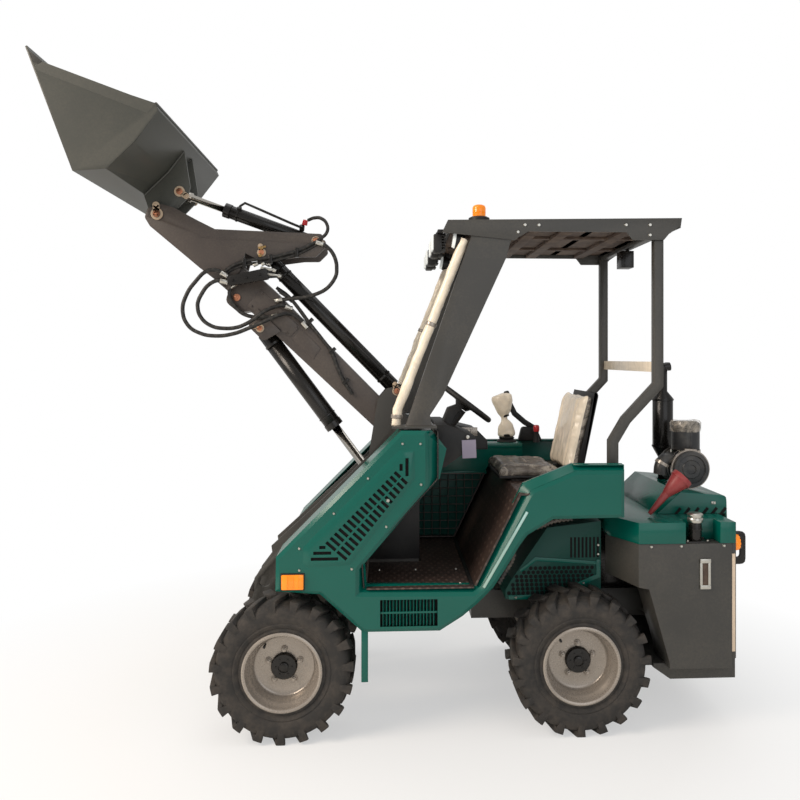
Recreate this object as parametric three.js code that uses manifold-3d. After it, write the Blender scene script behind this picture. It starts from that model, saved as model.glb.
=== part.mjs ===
// A compact articulated wheel loader: a standalone three.js model in millimetres.
// +X points forwards, +Y to the operator's left, +Z up. The origin lies on the ground,
// under the middle of the machine with its arms raised.
// The front half carries the boom, the operator's station and the canopy. The rear half
// carries the engine and hangs behind one upright hinge.
import * as THREE from "three";
import { mergeVertices } from "three/addons/utils/BufferGeometryUtils.js";
import Module from "manifold-3d";

const wasm = await Module();
wasm.setup();

// ---- Driving dimensions ----------------------------------------------------------------
const GAP = 0.4; // between pieces that touch

const FRONT_AXLE_X = 490;
const REAR_AXLE_X = -740;
const AXLE_Z = 292;
const TYRE_RADIUS = 292;
const TYRE_WIDTH = 216;
const WHEEL_Y = 422;
const RIM_RADIUS = 152;
const WHEEL_SIDES = 28;

const STEER_X = -235; // the upright hinge between the two halves
const BODY_Y = 530; // outer face of the front half's side panels
const SHEET = 6;
const FLOOR_Z = 622;

const BOOM_PIVOT = [10, 1195];
const LEVEL_PIN = [20, 1414];
const LIFT_FOOT = [-8, 812];
const LIFT_HEAD = [650, 1703];
const LEVEL_HEAD = [638, 2048];
const TILT_FOOT = [391, 2104];
const TILT_HEAD = [1013, 2328];
const BUCKET_PIVOT = [1108, 2220];
const CHANNEL_Y = 95; // half the clear width between the tower plates
const PLATE = 12;
const PIN_RADIUS = 16;

const BUCKET_Y = 555;
const CANOPY_Y = 450;
const TANK_Y = 500;
const TANK_INNER = 306;
const DECK_Z = 876; // top of the rear half's deck, just under the front half's overhang

// ---- Materials -------------------------------------------------------------------------
const paint = (color, roughness = 0.4, metalness = 0) =>
  new THREE.MeshStandardMaterial({ color, roughness, metalness });
const TEAL = paint(0x1f6a5e, 0.35);
const CHARCOAL = paint(0x4c4a48, 0.45);
const ARM_GREY = paint(0x59504a, 0.45);
const BUCKET_GREY = paint(0x54544f, 0.45);
const BLACK = paint(0x1c1a18, 0.4);
const CHROME = paint(0xc8c8c8, 0.15, 1);
const RUBBER = paint(0x3d3b38, 0.9);
const RIM_SILVER = paint(0xa89c8c, 0.4, 0.6);
const PLASTIC = paint(0x222222, 0.6);
const LAMP = paint(0xf58a1a, 0.3);
const CREAM = paint(0xd9c7ae, 0.5);
const FLOOR_BROWN = paint(0x3a2c27, 0.5);

// ---- Shape helpers ---------------------------------------------------------------------
function solid(geometry) {
  const bare = geometry.clone();
  bare.deleteAttribute("normal");
  bare.deleteAttribute("uv");
  const merged = mergeVertices(bare, 1e-3);
  return new wasm.Manifold(
    new wasm.Mesh({
      numProp: 3,
      vertProperties: new Float32Array(merged.attributes.position.array),
      triVerts: new Uint32Array(merged.index.array),
    }),
  );
}

function geometryOf(manifold) {
  const mesh = manifold.getMesh();
  const geometry = new THREE.BufferGeometry();
  geometry.setAttribute("position", new THREE.BufferAttribute(mesh.vertProperties, 3));
  geometry.setIndex(new THREE.BufferAttribute(mesh.triVerts, 1));
  geometry.computeVertexNormals();
  return geometry;
}

const join = (...shapes) => geometryOf(shapes.map(solid).reduce((a, b) => a.add(b)));

const cut = (from, ...tools) =>
  geometryOf(tools.map(solid).reduce((a, b) => a.subtract(b), solid(from)));

function box(x0, x1, y0, y1, z0, z1) {
  const geometry = new THREE.BoxGeometry(x1 - x0, y1 - y0, z1 - z0);
  return geometry.translate((x0 + x1) / 2, (y0 + y1) / 2, (z0 + z1) / 2);
}

// An outline of [a, b] points; a third value rounds that corner to the radius it gives.
function outline(points) {
  const shape = new THREE.Shape();
  points.forEach(([a, b, radius], i) => {
    const corner = new THREE.Vector2(a, b);
    if (!radius) {
      if (i) shape.lineTo(a, b);
      else shape.moveTo(a, b);
      return;
    }
    const before = points[(i + points.length - 1) % points.length];
    const after = points[(i + 1) % points.length];
    const toBefore = new THREE.Vector2(before[0] - a, before[1] - b);
    const toAfter = new THREE.Vector2(after[0] - a, after[1] - b);
    const halfAngle = Math.acos(toBefore.normalize().dot(toAfter.normalize())) / 2;
    const reach = radius / Math.tan(halfAngle);
    const start = corner.clone().addScaledVector(toBefore, reach);
    const end = corner.clone().addScaledVector(toAfter, reach);
    if (i) shape.lineTo(start.x, start.y);
    else shape.moveTo(start.x, start.y);
    shape.quadraticCurveTo(a, b, end.x, end.y);
  });
  return shape;
}

const extrude = (points, depth) =>
  new THREE.ExtrudeGeometry(outline(points), {
    depth,
    bevelEnabled: false,
    curveSegments: 3,
  });

// A plate whose outline is in side view (x, z), between two widths.
const plate = (points, y0, y1) =>
  extrude(points, y1 - y0).rotateX(Math.PI / 2).translate(0, y1, 0);

// A plate whose outline is in plan (x, y), between two heights.
const slab = (points, z0, z1) => extrude(points, z1 - z0).translate(0, 0, z0);

// The band that a folded sheet makes in side view: a path and its offset to the left.
function fold(path, thickness) {
  const normals = path.slice(1).map(([x, z], i) => {
    const along = new THREE.Vector2(x - path[i][0], z - path[i][1]).normalize();
    return new THREE.Vector2(-along.y, along.x);
  });
  const offset = path.map(([x, z], i) => {
    const before = normals[Math.max(i - 1, 0)];
    const after = normals[Math.min(i, normals.length - 1)];
    const middle = before.clone().add(after).normalize();
    const reach = thickness / middle.dot(after);
    return [x + middle.x * reach, z + middle.y * reach];
  });
  return [...path, ...offset.reverse()];
}

const sheet = (path, thickness, y0, y1) => plate(fold(path, thickness), y0, y1);

const at = ([x, z], y = 0) => new THREE.Vector3(x, y, z);

// A round bar between two points.
function bar(from, to, radius, sides = 14) {
  const along = to.clone().sub(from);
  const geometry = new THREE.CylinderGeometry(radius, radius, along.length(), sides);
  const turn = new THREE.Quaternion().setFromUnitVectors(
    new THREE.Vector3(0, 1, 0),
    along.normalize(),
  );
  return geometry.applyQuaternion(turn).translate(...from.clone().add(to).multiplyScalar(0.5));
}

const pin = (place, radius, y0, y1, sides = 16) => bar(at(place, y0), at(place, y1), radius, sides);

// A solid of revolution from [radius, height] points, about a line from a point.
// The profile may be listed either way round.
function turned(profile, from, direction, sides = 20) {
  const points = profile.map(([r, h]) => new THREE.Vector2(r, h));
  const turn = new THREE.Quaternion().setFromUnitVectors(
    new THREE.Vector3(0, 1, 0),
    direction.clone().normalize(),
  );
  const first = new THREE.LatheGeometry(points, sides);
  const outward = solid(first).volume() > 0;
  const lathe = outward ? first : new THREE.LatheGeometry(points.toReversed(), sides);
  return lathe.applyQuaternion(turn).translate(...from);
}

// A round hose along a route of points.
function hose(points, radius, steps) {
  const section = new THREE.Shape();
  section.absarc(0, 0, radius, 0, Math.PI * 2);
  return new THREE.ExtrudeGeometry(section, {
    steps,
    bevelEnabled: false,
    curveSegments: 2,
    extrudePath: new THREE.CatmullRomCurve3(points.map((p) => new THREE.Vector3(...p))),
  });
}

const UP = new THREE.Vector3(0, 0, 1);
const LEFT = new THREE.Vector3(0, 1, 0);

const machine = new THREE.Group();

function add(name, geometry, material) {
  const mesh = new THREE.Mesh(geometry, material);
  mesh.name = name;
  machine.add(mesh);
}

// ---- Wheels ----------------------------------------------------------------------------
function tyre() {
  const half = TYRE_WIDTH / 2;
  const bead = half - 20;
  const profile = [
    [RIM_RADIUS + GAP, -bead],
    [172, -bead],
    [205, -half],
    [262, -half],
    [TYRE_RADIUS, 36 - half],
    [TYRE_RADIUS, half - 36],
    [262, half],
    [205, half],
    [172, bead],
    [RIM_RADIUS + GAP, bead],
    [RIM_RADIUS + GAP, -bead],
  ];
  return turned(profile, new THREE.Vector3(), LEFT, WHEEL_SIDES);
}

// The rim's disc sits deep in the outer side; side is 1 on the left and -1 on the right.
function rim(side) {
  const bead = TYRE_WIDTH / 2 - 20;
  const edge = bead + 10;
  const flange = 163;
  const profile = [
    [0, 8],
    [146, 8],
    [146, -edge],
    [flange, -edge],
    [flange, -bead - GAP],
    [RIM_RADIUS, -bead - GAP],
    [RIM_RADIUS, bead + GAP],
    [flange, bead + GAP],
    [flange, edge],
    [146, edge],
    [146, 18],
    [62, 18],
    [46, 48],
    [0, 48],
  ];
  return turned(profile, new THREE.Vector3(), LEFT.clone().multiplyScalar(side), WHEEL_SIDES);
}

function wheels() {
  for (const [end, x] of [["front", FRONT_AXLE_X], ["rear", REAR_AXLE_X]]) {
    for (const [hand, side] of [["left", 1], ["right", -1]]) {
      const place = [x, side * WHEEL_Y, AXLE_Z];
      add(`${end}_${hand}_tyre`, tyre().translate(...place), RUBBER);
      add(`${end}_${hand}_rim`, rim(side).translate(...place), RIM_SILVER);
    }
  }
}

// An axle housing with its gear case in the middle and a hub face at each wheel.
function axle(x) {
  const hub = WHEEL_Y + 8 - 2;
  const half = [
    [58, hub],
    [58, hub - 34],
    [40, hub - 50],
    [40, 140],
    [78, 90],
  ];
  const profile = [[0, hub], ...half, ...half.toReversed().map(([r, h]) => [r, -h]), [0, -hub]];
  return turned(profile.toReversed(), new THREE.Vector3(x, 0, AXLE_Z), LEFT, 18);
}

// ---- Front chassis ---------------------------------------------------------------------
const BELLY_Z = AXLE_Z + 80;

const CHASSIS_OUTLINE = [
  [-15, 1441, 12],
  [68, 1426, 24],
  [108, 1378, 20],
  [150, 1120],
  [259, 1012],
  [593, 708],
  [588, 671],
  [670, 562, 14],
  [670, 502],
  [702, 420, 10],
  [690, BELLY_Z + 1, 10],
  [-150, BELLY_Z + 1],
  [-150, 600],
  [-80, 600],
  [-80, 1240],
  [-15, 1305],
];

function frontChassis() {
  const hole = pin([624, 547], 26, -CHANNEL_Y - 40, CHANNEL_Y + 40);
  const sides = [-1, 1].map((side) => {
    const y0 = side > 0 ? CHANNEL_Y : -CHANNEL_Y - PLATE;
    return cut(plate(CHASSIS_OUTLINE, y0, y0 + PLATE), hole);
  });
  const boss = (place, radius, y0) => [
    pin(place, radius, y0, CHANNEL_Y + 2),
    pin(place, radius, -CHANNEL_Y - 2, -y0),
  ];
  const width = CHANNEL_Y + 2;
  return join(
    ...sides,
    box(-150, 640, -width, width, BELLY_Z + 1, BELLY_Z + 13),
    box(-150, -138, -width, width, BELLY_Z + 1, 600),
    box(-80, -68, -width, width, 640, 760),
    box(20, 32, -width, width, BELLY_Z + 2, 640),
    ...boss(LIFT_FOOT, 30, 36),
    pin(LEVEL_PIN, PIN_RADIUS, -CHANNEL_Y - PLATE - 8, CHANNEL_Y + PLATE + 8),
    pin(BOOM_PIVOT, 24, -CHANNEL_Y - PLATE - 8, CHANNEL_Y + PLATE + 8),
    pin([660, 402], 14, -width, width),
    steeringLug(560),
    steeringLug(BELLY_Z + 1),
    bar(
      new THREE.Vector3(STEER_X, 0, BELLY_Z + 4),
      new THREE.Vector3(STEER_X, 0, 578),
      24,
    ),
  );
}

function steeringLug(z) {
  const points = [
    [-140, 80],
    [-140, -80],
    [STEER_X, -60],
    [STEER_X - 50, -40, 20],
    [STEER_X - 50, 40, 20],
    [STEER_X, 60],
  ];
  return slab(points.toReversed(), z, z + 22);
}

// ---- Front half's panels ---------------------------------------------------------------
const ARCH = [
  [-918, 904],
  [-620, 901],
  [-451, 787],
  [-335, 616],
  [-245, 495],
  [-151, 450],
  [162, 450],
  [336, 607],
  [516, 622],
  [514, 761],
  [8, 1269],
];

const LEFT_OUTLINE = [
  ...ARCH,
  [-118, 1268],
  [-180, 1190],
  [-151, 1068],
  [158, 734],
  [150, 634],
  [-298, 628],
  [-480, 1004],
  [-501, 1045],
  [-708, 1125],
  [-918, 1124],
];

const RIGHT_OUTLINE = [
  ...ARCH,
  [-118, 1268],
  [-180, 1190],
  [-180, 1125],
  [-918, 1124],
];

const FENDER_INNER = 305;

// A side panel is one sheet with a lid over the front housing, an arch liner and a mud flap.
function sidePanel(side, points) {
  const skin = plate(points, BODY_Y - SHEET, BODY_Y);
  const lid = sheet([[516, 628], [514, 761], [8, 1269], [-118, 1268]], SHEET, FENDER_INNER, BODY_Y - 1);
  const liner = sheet([[167, 455], [337, 608], [515, 624]], SHEET, FENDER_INNER, BODY_Y - 1);
  const flap = sheet([[168, 240], [168, 458]], SHEET, FENDER_INNER + 20, BODY_Y - 1);
  const flapEdge = box(142, 168, BODY_Y - 14, BODY_Y - 11, 245, 456);
  const rear = sheet([[-708, 1119], [-918, 1118], [-918, 1010]], SHEET, BODY_Y - 60, BODY_Y - 1);
  const rocker = box(-151, 167, BODY_Y - 40, BODY_Y - 1, 450, 456);
  const pieces = [skin, lid, liner, flap, flapEdge, rear, rocker];
  const whole = join(...pieces);
  return side > 0 ? whole : flipped(whole);
}

// Mirrors a geometry across the machine's middle and turns its faces out again.
function flipped(geometry) {
  return geometryOf(solid(geometry).mirror([0, 1, 0]));
}

function ventPanel(side) {
  const points = [
    [380, 719, 14],
    [404, 800, 14],
    [15, 1190, 24],
    [-48, 1186, 24],
    [-48, 1075, 24],
    [215, 730, 14],
  ];
  const y0 = BODY_Y + GAP;
  const whole = plate(points.toReversed(), y0, y0 + 8);
  return side > 0 ? whole : flipped(whole);
}

function floorPan() {
  const y = BODY_Y - SHEET - GAP;
  const pan = sheet([[-292, FLOOR_Z], [148, FLOOR_Z]], SHEET, -y, y);
  const slot = box(-90, 200, -CHANNEL_Y - PLATE - 3, CHANNEL_Y + PLATE + 3, 500, 700);
  const ribs = [-1, 1].map((s) => box(-290, 146, s * 300 - 20, s * 300 + 20, 560, FLOOR_Z + 1));
  return cut(join(pan, ...ribs), slot);
}

// The sheet in front of the operator's feet, split around the tower.
function footBulkhead() {
  const y = BODY_Y - SHEET - GAP - 1;
  const path = [[-146, 1262], [-146, 1070], [164, 736], [156, FLOOR_Z + SHEET + 1]];
  const whole = sheet(path, SHEET, -y, y);
  const slot = box(-92, 200, -CHANNEL_Y - PLATE - 3, CHANNEL_Y + PLATE + 3, 560, 1320);
  return cut(whole, slot);
}

// ---- Operator's station ----------------------------------------------------------------
function seatBox() {
  const y = BODY_Y - SHEET - GAP - 1;
  const front = sheet([[-906, 1000], [-486, 1000], [-300, FLOOR_Z + SHEET + 2]], 8, -y, y);
  const back = box(-906, -898, -y, y, 908, 1001);
  const tray = box(-820, -500, -180, 180, 1000, 1014);
  return join(front, back, tray);
}

const CONSOLE_Y = -340; // inner face of the console and of the mesh under it

function sideConsole() {
  const y0 = -BODY_Y + SHEET + GAP + 1;
  const y1 = CONSOLE_Y;
  const side = [
    [-640, 1113],
    [-640, 1020],
    [-470, 1020],
    [-440, 970],
    [-160, 970],
    [-160, 1113],
  ];
  const top = box(-640, -160, y0, y1, 1112, 1120);
  const end = box(-168, -160, y0, y1 - 1, 970, 1113);
  return join(top, plate(side, y1 - 6, y1), end);
}

// The mesh between the console and the floor, on the operator's right.
function meshWall() {
  const points = [
    [-440, 966],
    [-282, 640],
    [136, 640],
    [140, 722],
    [-92, 966],
  ];
  return plate(points, CONSOLE_Y - 4, CONSOLE_Y);
}

function seatCushion() {
  const points = [
    [-420, 1030, 20],
    [-425, 1078, 20],
    [-730, 1082, 14],
    [-740, 1015, 10],
    [-450, 1015, 10],
  ];
  return plate(points.toReversed(), -225, 225);
}

function seatBack() {
  const points = [
    [-748, 1030, 10],
    [-748, 1100, 20],
    [-832, 1412, 26],
    [-900, 1400, 26],
    [-835, 1080, 20],
    [-820, 1030, 10],
  ];
  return plate(points, -215, 215);
}

const WHEEL_CENTRE = new THREE.Vector3(-305, 0, 1355);
const COLUMN_AXIS = new THREE.Vector3(-0.6, 0, 0.8);

function dashConsole() {
  const y = 250;
  const body = plate(
    [
      [-152 - GAP, 1268],
      [-152 - GAP, 1080],
      [-190, 1080],
      [-330, 1180, 10],
      [-330, 1215, 10],
      [-200, 1268],
    ],
    -y,
    y,
  );
  const top = WHEEL_CENTRE.clone().addScaledVector(COLUMN_AXIS, -36);
  return join(body, bar(top.clone().addScaledVector(COLUMN_AXIS, -110), top, 32));
}

function steeringWheel() {
  const ring = new THREE.TorusGeometry(140, 12, 8, 18);
  const hub = new THREE.CylinderGeometry(34, 38, 36, 14).rotateX(Math.PI / 2).translate(0, 0, -12);
  const spokes = [0, 1, 2].map((i) =>
    new THREE.BoxGeometry(130, 24, 8).translate(75, 0, -8).rotateZ((i * 2 * Math.PI) / 3 + Math.PI / 6),
  );
  const turn = new THREE.Quaternion().setFromUnitVectors(UP, COLUMN_AXIS);
  return join(ring, hub, ...spokes).applyQuaternion(turn).translate(...WHEEL_CENTRE);
}

function lever(x, y, z, height, lean) {
  const foot = new THREE.Vector3(x, y, z);
  const top = new THREE.Vector3(x + lean, y, z + height);
  const stick = foot.clone().setZ(z + 12);
  const knob = top.clone().add(new THREE.Vector3(lean * 0.3, 0, height * 0.35));
  return join(
    bar(stick, top, 9, 10),
    bar(top.clone().setZ(top.z - 4), knob, 20, 12),
    bar(foot, foot.clone().setZ(z + 20), 30, 14),
  );
}

// ---- Canopy ----------------------------------------------------------------------------
const ROOF_OUTLINE = [
  [-190, 2145],
  [-165, 2093],
  [-468, 2062],
  [-530, 2100],
  [-951, 2100],
  [-977, 2067],
  [-1111, 2068],
  [-1132, 2093],
  [-1184, 2128],
  [-1189, 2162],
];

function canopyRoof() {
  const y = CANOPY_Y;
  const cheeks = [plate(ROOF_OUTLINE, y - SHEET, y), plate(ROOF_OUTLINE, -y, SHEET - y)];
  const top = sheet([[-1187, 2152], [-192, 2136]].toReversed(), 8, 1 - y, y - 1);
  const ribs = [-300, -560, -820, -1080].map((x) => box(x - 15, x + 15, 1 - y, y - 1, 2118, 2142));
  const nose = sheet([[-186, 2095], [-196, 2140]], SHEET, 1 - y, y - 1);
  const tail = sheet([[-1184, 2150], [-1184, 2120]], SHEET, 1 - y, y - 1);
  return join(...cheeks, top, ...ribs, nose, tail);
}

const POST_Y = 412;

const TUBE_RADIUS = 14; // of the round stay in front of each pillar

function canopyPillar(side) {
  const points = [
    [-10, 1274],
    [-282, 2060],
    [-455, 2060],
    [-437, 1989],
    [-170, 1410],
    [-115, 1326],
    [-124, 1274],
  ];
  const y = CANOPY_Y - SHEET - GAP;
  const whole = join(
    plate(points, y - 40, y),
    plate([[-282, 2055], [-292, 2092], [-470, 2092], [-455, 2055]], y - 40, y),
    box(-140, 44, y - 60, y + 60, 1269 + SHEET + 1, 1269 + SHEET + 9),
    bar(at([26, 1280], POST_Y), at([20, 1350], POST_Y), TUBE_RADIUS),
    bar(at([20, 1350], POST_Y), at([-262, 2070], POST_Y), TUBE_RADIUS),
  );
  return side > 0 ? whole : flipped(whole);
}

const REAR_POST_Y = 422;
const REAR_POST_WIDTH = 42;

// The outline of a bar of even width bent through stops, in side view.
function ribbon(stops, width) {
  const places = stops.map((p) => new THREE.Vector2(...p));
  const edges = places.slice(1).map((p, i) => p.clone().sub(places[i]).normalize());
  const edgePoint = (side) => (place, i) => {
    const before = edges[Math.max(0, i - 1)];
    const after = edges[Math.min(i, edges.length - 1)];
    const along = before.clone().add(after).normalize();
    const reach = (side * width) / 2 / along.dot(before);
    return [place.x - along.y * reach, place.y + along.x * reach];
  };
  return [...places.map(edgePoint(1)), ...places.map(edgePoint(-1)).toReversed()];
}

function canopyRear() {
  const stops = [
    [-1092, 2112],
    [-1092, 1451],
    [-952, 1302],
    [-897, 1210],
    [-897, 1013],
  ];
  const outline = ribbon(stops, REAR_POST_WIDTH);
  const post = (s) => plate(outline, s * REAR_POST_Y - 20, s * REAR_POST_Y + 20);
  const brace = box(-1098, -1092, -REAR_POST_Y, REAR_POST_Y, 1505, 1550);
  const top = box(-1108, -1076, -REAR_POST_Y, REAR_POST_Y, 2088, 2110);
  return join(post(1), post(-1), brace, top);
}

function beacon() {
  const profile = [
    [0, 0],
    [40, 0],
    [46, 18],
    [46, 34],
    [29, 38],
    [29, 80],
    [20, 90],
    [0, 91],
  ];
  return turned(profile.toReversed(), new THREE.Vector3(-338, 300, 2147), UP, 16);
}

function frontLights() {
  const rail = box(-180, -170, -380, 380, 2100, 2112);
  const lamps = [-330, -150, 150, 330].map((y) => box(-172, -118, y - 48, y + 48, 2020, 2104));
  return join(rail, ...lamps);
}

function rearLight() {
  return join(box(-1112, -1052, -40, 40, 1998, 2078), box(-1098, -1086, -12, 12, 2077, 2087.6));
}

// ---- Rear half -------------------------------------------------------------------------
const ENCLOSURE = [
  [-455, 506],
  [-455, 546],
  [-485, 596],
  [-640, 818],
  [-880, 844],
  [-880, 506],
];

function rearChassis() {
  const hinge = new THREE.Vector3(STEER_X, 0, 402);
  const sleeve = bar(hinge, hinge.clone().setZ(552), 54, 18);
  const bore = bar(hinge.clone().setZ(390), hinge.clone().setZ(570), 26, 18);
  const nose = slab(
    [
      [STEER_X, -50],
      [-330, -60],
      [-330, 60],
      [STEER_X, 50],
    ].toReversed(),
    420,
    536,
  );
  const rails = [-1, 1].map((s) =>
    box(-1380, -320, s * 130 - 14, s * 130 + 14, BELLY_Z + 1, 500),
  );
  const head = box(-334, -320, -144, 144, BELLY_Z + 1, 540);
  const cross = [-560, -900, -1376].map((x) => box(x - 8, x + 8, -140, 140, BELLY_Z + 1, 480));
  const outriggers = box(-1376, -1110, -TANK_INNER, TANK_INNER, 400, 412);
  return cut(join(sleeve, nose, head, ...rails, ...cross, outriggers), bore);
}

// The sheet cover over the gear case and the engine's front, with a screen on each side.
function engineEnclosure() {
  const y = 300;
  const cover = sheet(ENCLOSURE.slice(0, -1), 4, -y, y);
  return join(cover, plate(ENCLOSURE, y - 4, y), plate(ENCLOSURE, -y, 4 - y));
}

const TANK_OUTLINE = [
  [-893, 620],
  [-893, 787],
  [-1384, 787],
  [-1384, 262],
  [-1117, 262],
  [-1117, 290],
  [-1030, 597],
  [-985, 606],
];

function sideTank(side) {
  const block = plate(TANK_OUTLINE.toReversed(), TANK_INNER + GAP, TANK_Y);
  const corner = [
    [-986, TANK_Y + 1],
    [-894, TANK_INNER - 6],
    [-880, TANK_INNER - 6],
    [-880, TANK_Y + 1],
  ];
  const whole = cut(block, slab(corner, 600, 800));
  return side > 0 ? whole : flipped(whole);
}

// The deck's outline in plan, a wall's thickness inside its skirt when that is given.
function deckOutline(inside) {
  const y = TANK_Y + 4 - inside;
  const half = [
    [-905 - inside, 330 - inside / 2],
    [-985 - inside / 2, y],
    [-1185 + inside, y],
    [-1185 + inside, 425 - inside],
    [-1333 - inside, 425 - inside],
    [-1333 - inside, y],
    [inside ? -1410 : -1400, y],
  ];
  return [...half, ...half.toReversed().map(([x, across]) => [x, -across])];
}

function deck() {
  const inner = slab(deckOutline(SHEET), 780, DECK_Z - SHEET);
  return cut(slab(deckOutline(0), 788, DECK_Z), inner);
}

const MUFFLER_PLACE = [-1302, -100];
const CLEANER_PLACE = [-1325, 100];

function hood() {
  const y = 320;
  const points = [
    [-1127, DECK_Z + GAP],
    [-1231, 972],
    [-1440, 955, 20],
    [-1445, 800],
    [-1439, 800],
    [-1436, DECK_Z + GAP],
  ];
  const shell = plate(points.toReversed(), -y, y);
  const wells = [
    upright(MUFFLER_PLACE, 34, 860, 990),
    upright(CLEANER_PLACE, 40, 860, 990),
  ];
  return cut(shell, ...wells);
}

// An upright bar at a place in plan.
const upright = ([x, y], radius, z0, z1, sides = 18) =>
  bar(new THREE.Vector3(x, y, z0), new THREE.Vector3(x, y, z1), radius, sides);

function rearGrille() {
  return box(-1405, -1385, -TANK_Y + 6, TANK_Y - 6, 300, 786);
}

// A thick tray under the tail with an upright lip behind the grille.
function counterweight() {
  const points = [
    [-1071, 244],
    [-1071, 261],
    [-1385, 261],
    [-1385, 298],
    [-1408, 298],
    [-1408, 308],
    [-1430, 308],
    [-1430, 192],
    [-1145, 192],
  ];
  return plate(points, -430, 430);
}

// A tail lamp inside a guard plate with a round-ended opening.
function tailGuard(side) {
  const y = 400;
  const z = 768;
  const lamp = bar(new THREE.Vector3(-1406, y, z), new THREE.Vector3(-1462, y, z), 34, 14);
  const guard = [
    [-1406, 815],
    [-1487, 815, 24],
    [-1487, 673, 24],
    [-1406, 673, 10],
  ];
  const opening = [
    [-1424, 797, 10],
    [-1463, 797, 14],
    [-1463, 703, 14],
    [-1424, 703, 10],
  ];
  const loop = cut(plate(guard.toReversed(), y - 6, y + 6), plate(opening.toReversed(), y - 9, y + 9));
  const whole = join(lamp, loop);
  return side > 0 ? whole : flipped(whole);
}

function muffler() {
  const profile = [
    [0, 0],
    [24, 0],
    [24, 200],
    [50, 246],
    [50, 490],
    [22, 524],
    [22, 646],
    [16, 646],
    [16, 570],
    [0, 570],
  ];
  return turned(profile, new THREE.Vector3(...MUFFLER_PLACE, DECK_Z + 1), UP, 18);
}

function airCleaner() {
  const z = 1056;
  const [x] = CLEANER_PLACE;
  const canister = bar(new THREE.Vector3(x, 0, z), new THREE.Vector3(x, 210, z), 82, 20);
  const neck = upright(CLEANER_PLACE, 30, DECK_Z + 1, 1160);
  const bowl = turned(
    [
      [0, 0],
      [40, 0],
      [40, 22],
      [65, 26],
      [65, 146],
      [44, 156],
      [0, 156],
    ],
    new THREE.Vector3(x - 14, 100, 1112),
    UP,
    20,
  );
  return join(canister, neck, bowl);
}

// ---- Boom ------------------------------------------------------------------------------
const BOOM_ANGLE = THREE.MathUtils.degToRad(44.5);

// A point in side view from distances along the boom and above the line from its pivot.
function onBoom(along, above, radius) {
  const [x, z] = BOOM_PIVOT;
  const c = Math.cos(BOOM_ANGLE);
  const s = Math.sin(BOOM_ANGLE);
  const point = [x + along * c - above * s, z + along * s + above * c];
  return radius ? [...point, radius] : point;
}

function boomBeam() {
  const body = plate(
    [
      onBoom(-48, -34, 30),
      onBoom(60, -44),
      onBoom(905, -62),
      onBoom(935, -105, 25),
      onBoom(1015, -112, 34),
      onBoom(1035, -70, 10),
      onBoom(1035, 55, 4),
      onBoom(1000, 78, 10),
      onBoom(880, 82),
      onBoom(70, 68),
      onBoom(-48, 34, 30),
    ],
    -55,
    55,
  );
  const foot = pin(BOOM_PIVOT, 46, 2 - CHANNEL_Y, CHANNEL_Y - 2, 18);
  const bore = pin(BOOM_PIVOT, 25.5, -CHANNEL_Y - 5, CHANNEL_Y + 5, 18);
  const lug = [
    onBoom(735, -30),
    onBoom(760, -118, 20),
    onBoom(860, -118, 20),
    onBoom(885, -30),
  ];
  const lugs = [-1, 1].map((s) => plate(lug, s * 60 - 9, s * 60 + 9));
  const liftPin = pin(LIFT_HEAD, PIN_RADIUS, -74, 74);
  return join(cut(join(body, foot, ...lugs), bore, ...liftPocket()), liftPin);
}

// Room in the boom's underside for the lift cylinder and its eye.
function liftPocket() {
  const start = at(LIFT_HEAD);
  const along = at(LIFT_FOOT).sub(start).normalize();
  return [
    pin(LIFT_HEAD, 44, -46, 46, 18),
    bar(start, start.clone().addScaledVector(along, 190), 46, 18),
  ];
}

const HEAD_OUTLINE = [
  [1150, 2246, 20],
  [1164, 2205, 20],
  [1140, 2165],
  [916, 1976],
  [858, 1931],
  [815, 1893],
  [738, 1960],
  [713, 2046],
  [637, 2005],
  [464, 2029],
  [391, 2030, 16],
  [350, 2071, 16],
  [364, 2136, 12],
  [849, 2154],
  [929, 2194],
  [1037, 2252],
  [1100, 2268, 20],
];
const CHEEK_Y = 86;
const CHEEK = 14;

function boomHead() {
  const cheeks = [-1, 1].map((s) => {
    const middle = s * (CHEEK_Y + CHEEK / 2);
    return plate(HEAD_OUTLINE.toReversed(), middle - CHEEK / 2, middle + CHEEK / 2);
  });
  const width = CHEEK_Y + 1;
  const neck = plate(
    [onBoom(1036, 58), onBoom(1036, -66), onBoom(1120, -68), onBoom(1170, 10), onBoom(1120, 60)],
    -width,
    width,
  );
  const tie = pin([960, 2110], 26, -width, width);
  const tiltPin = pin(TILT_FOOT, PIN_RADIUS, -CHEEK_Y - CHEEK - 8, CHEEK_Y + CHEEK + 8);
  const bore = pin(BUCKET_PIVOT, 19, -120, 120, 18);
  return cut(join(...cheeks, neck, tie, tiltPin), bore);
}

function couplerBlock() {
  const points = [
    [602, 1925, 8],
    [780, 1893, 8],
    [792, 1935, 8],
    [612, 1975, 8],
  ];
  const y0 = CHEEK_Y + CHEEK + GAP;
  const body = plate(points, y0, y0 + 34);
  const nipples = [[560, 1940], [572, 1966]].map((p, i) => {
    const root = [612 + 4 * i, 1936 + 18 * i];
    return bar(at(p, y0 + 17), at(root, y0 + 17), 8, 12);
  });
  return join(body, ...nipples);
}

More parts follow.
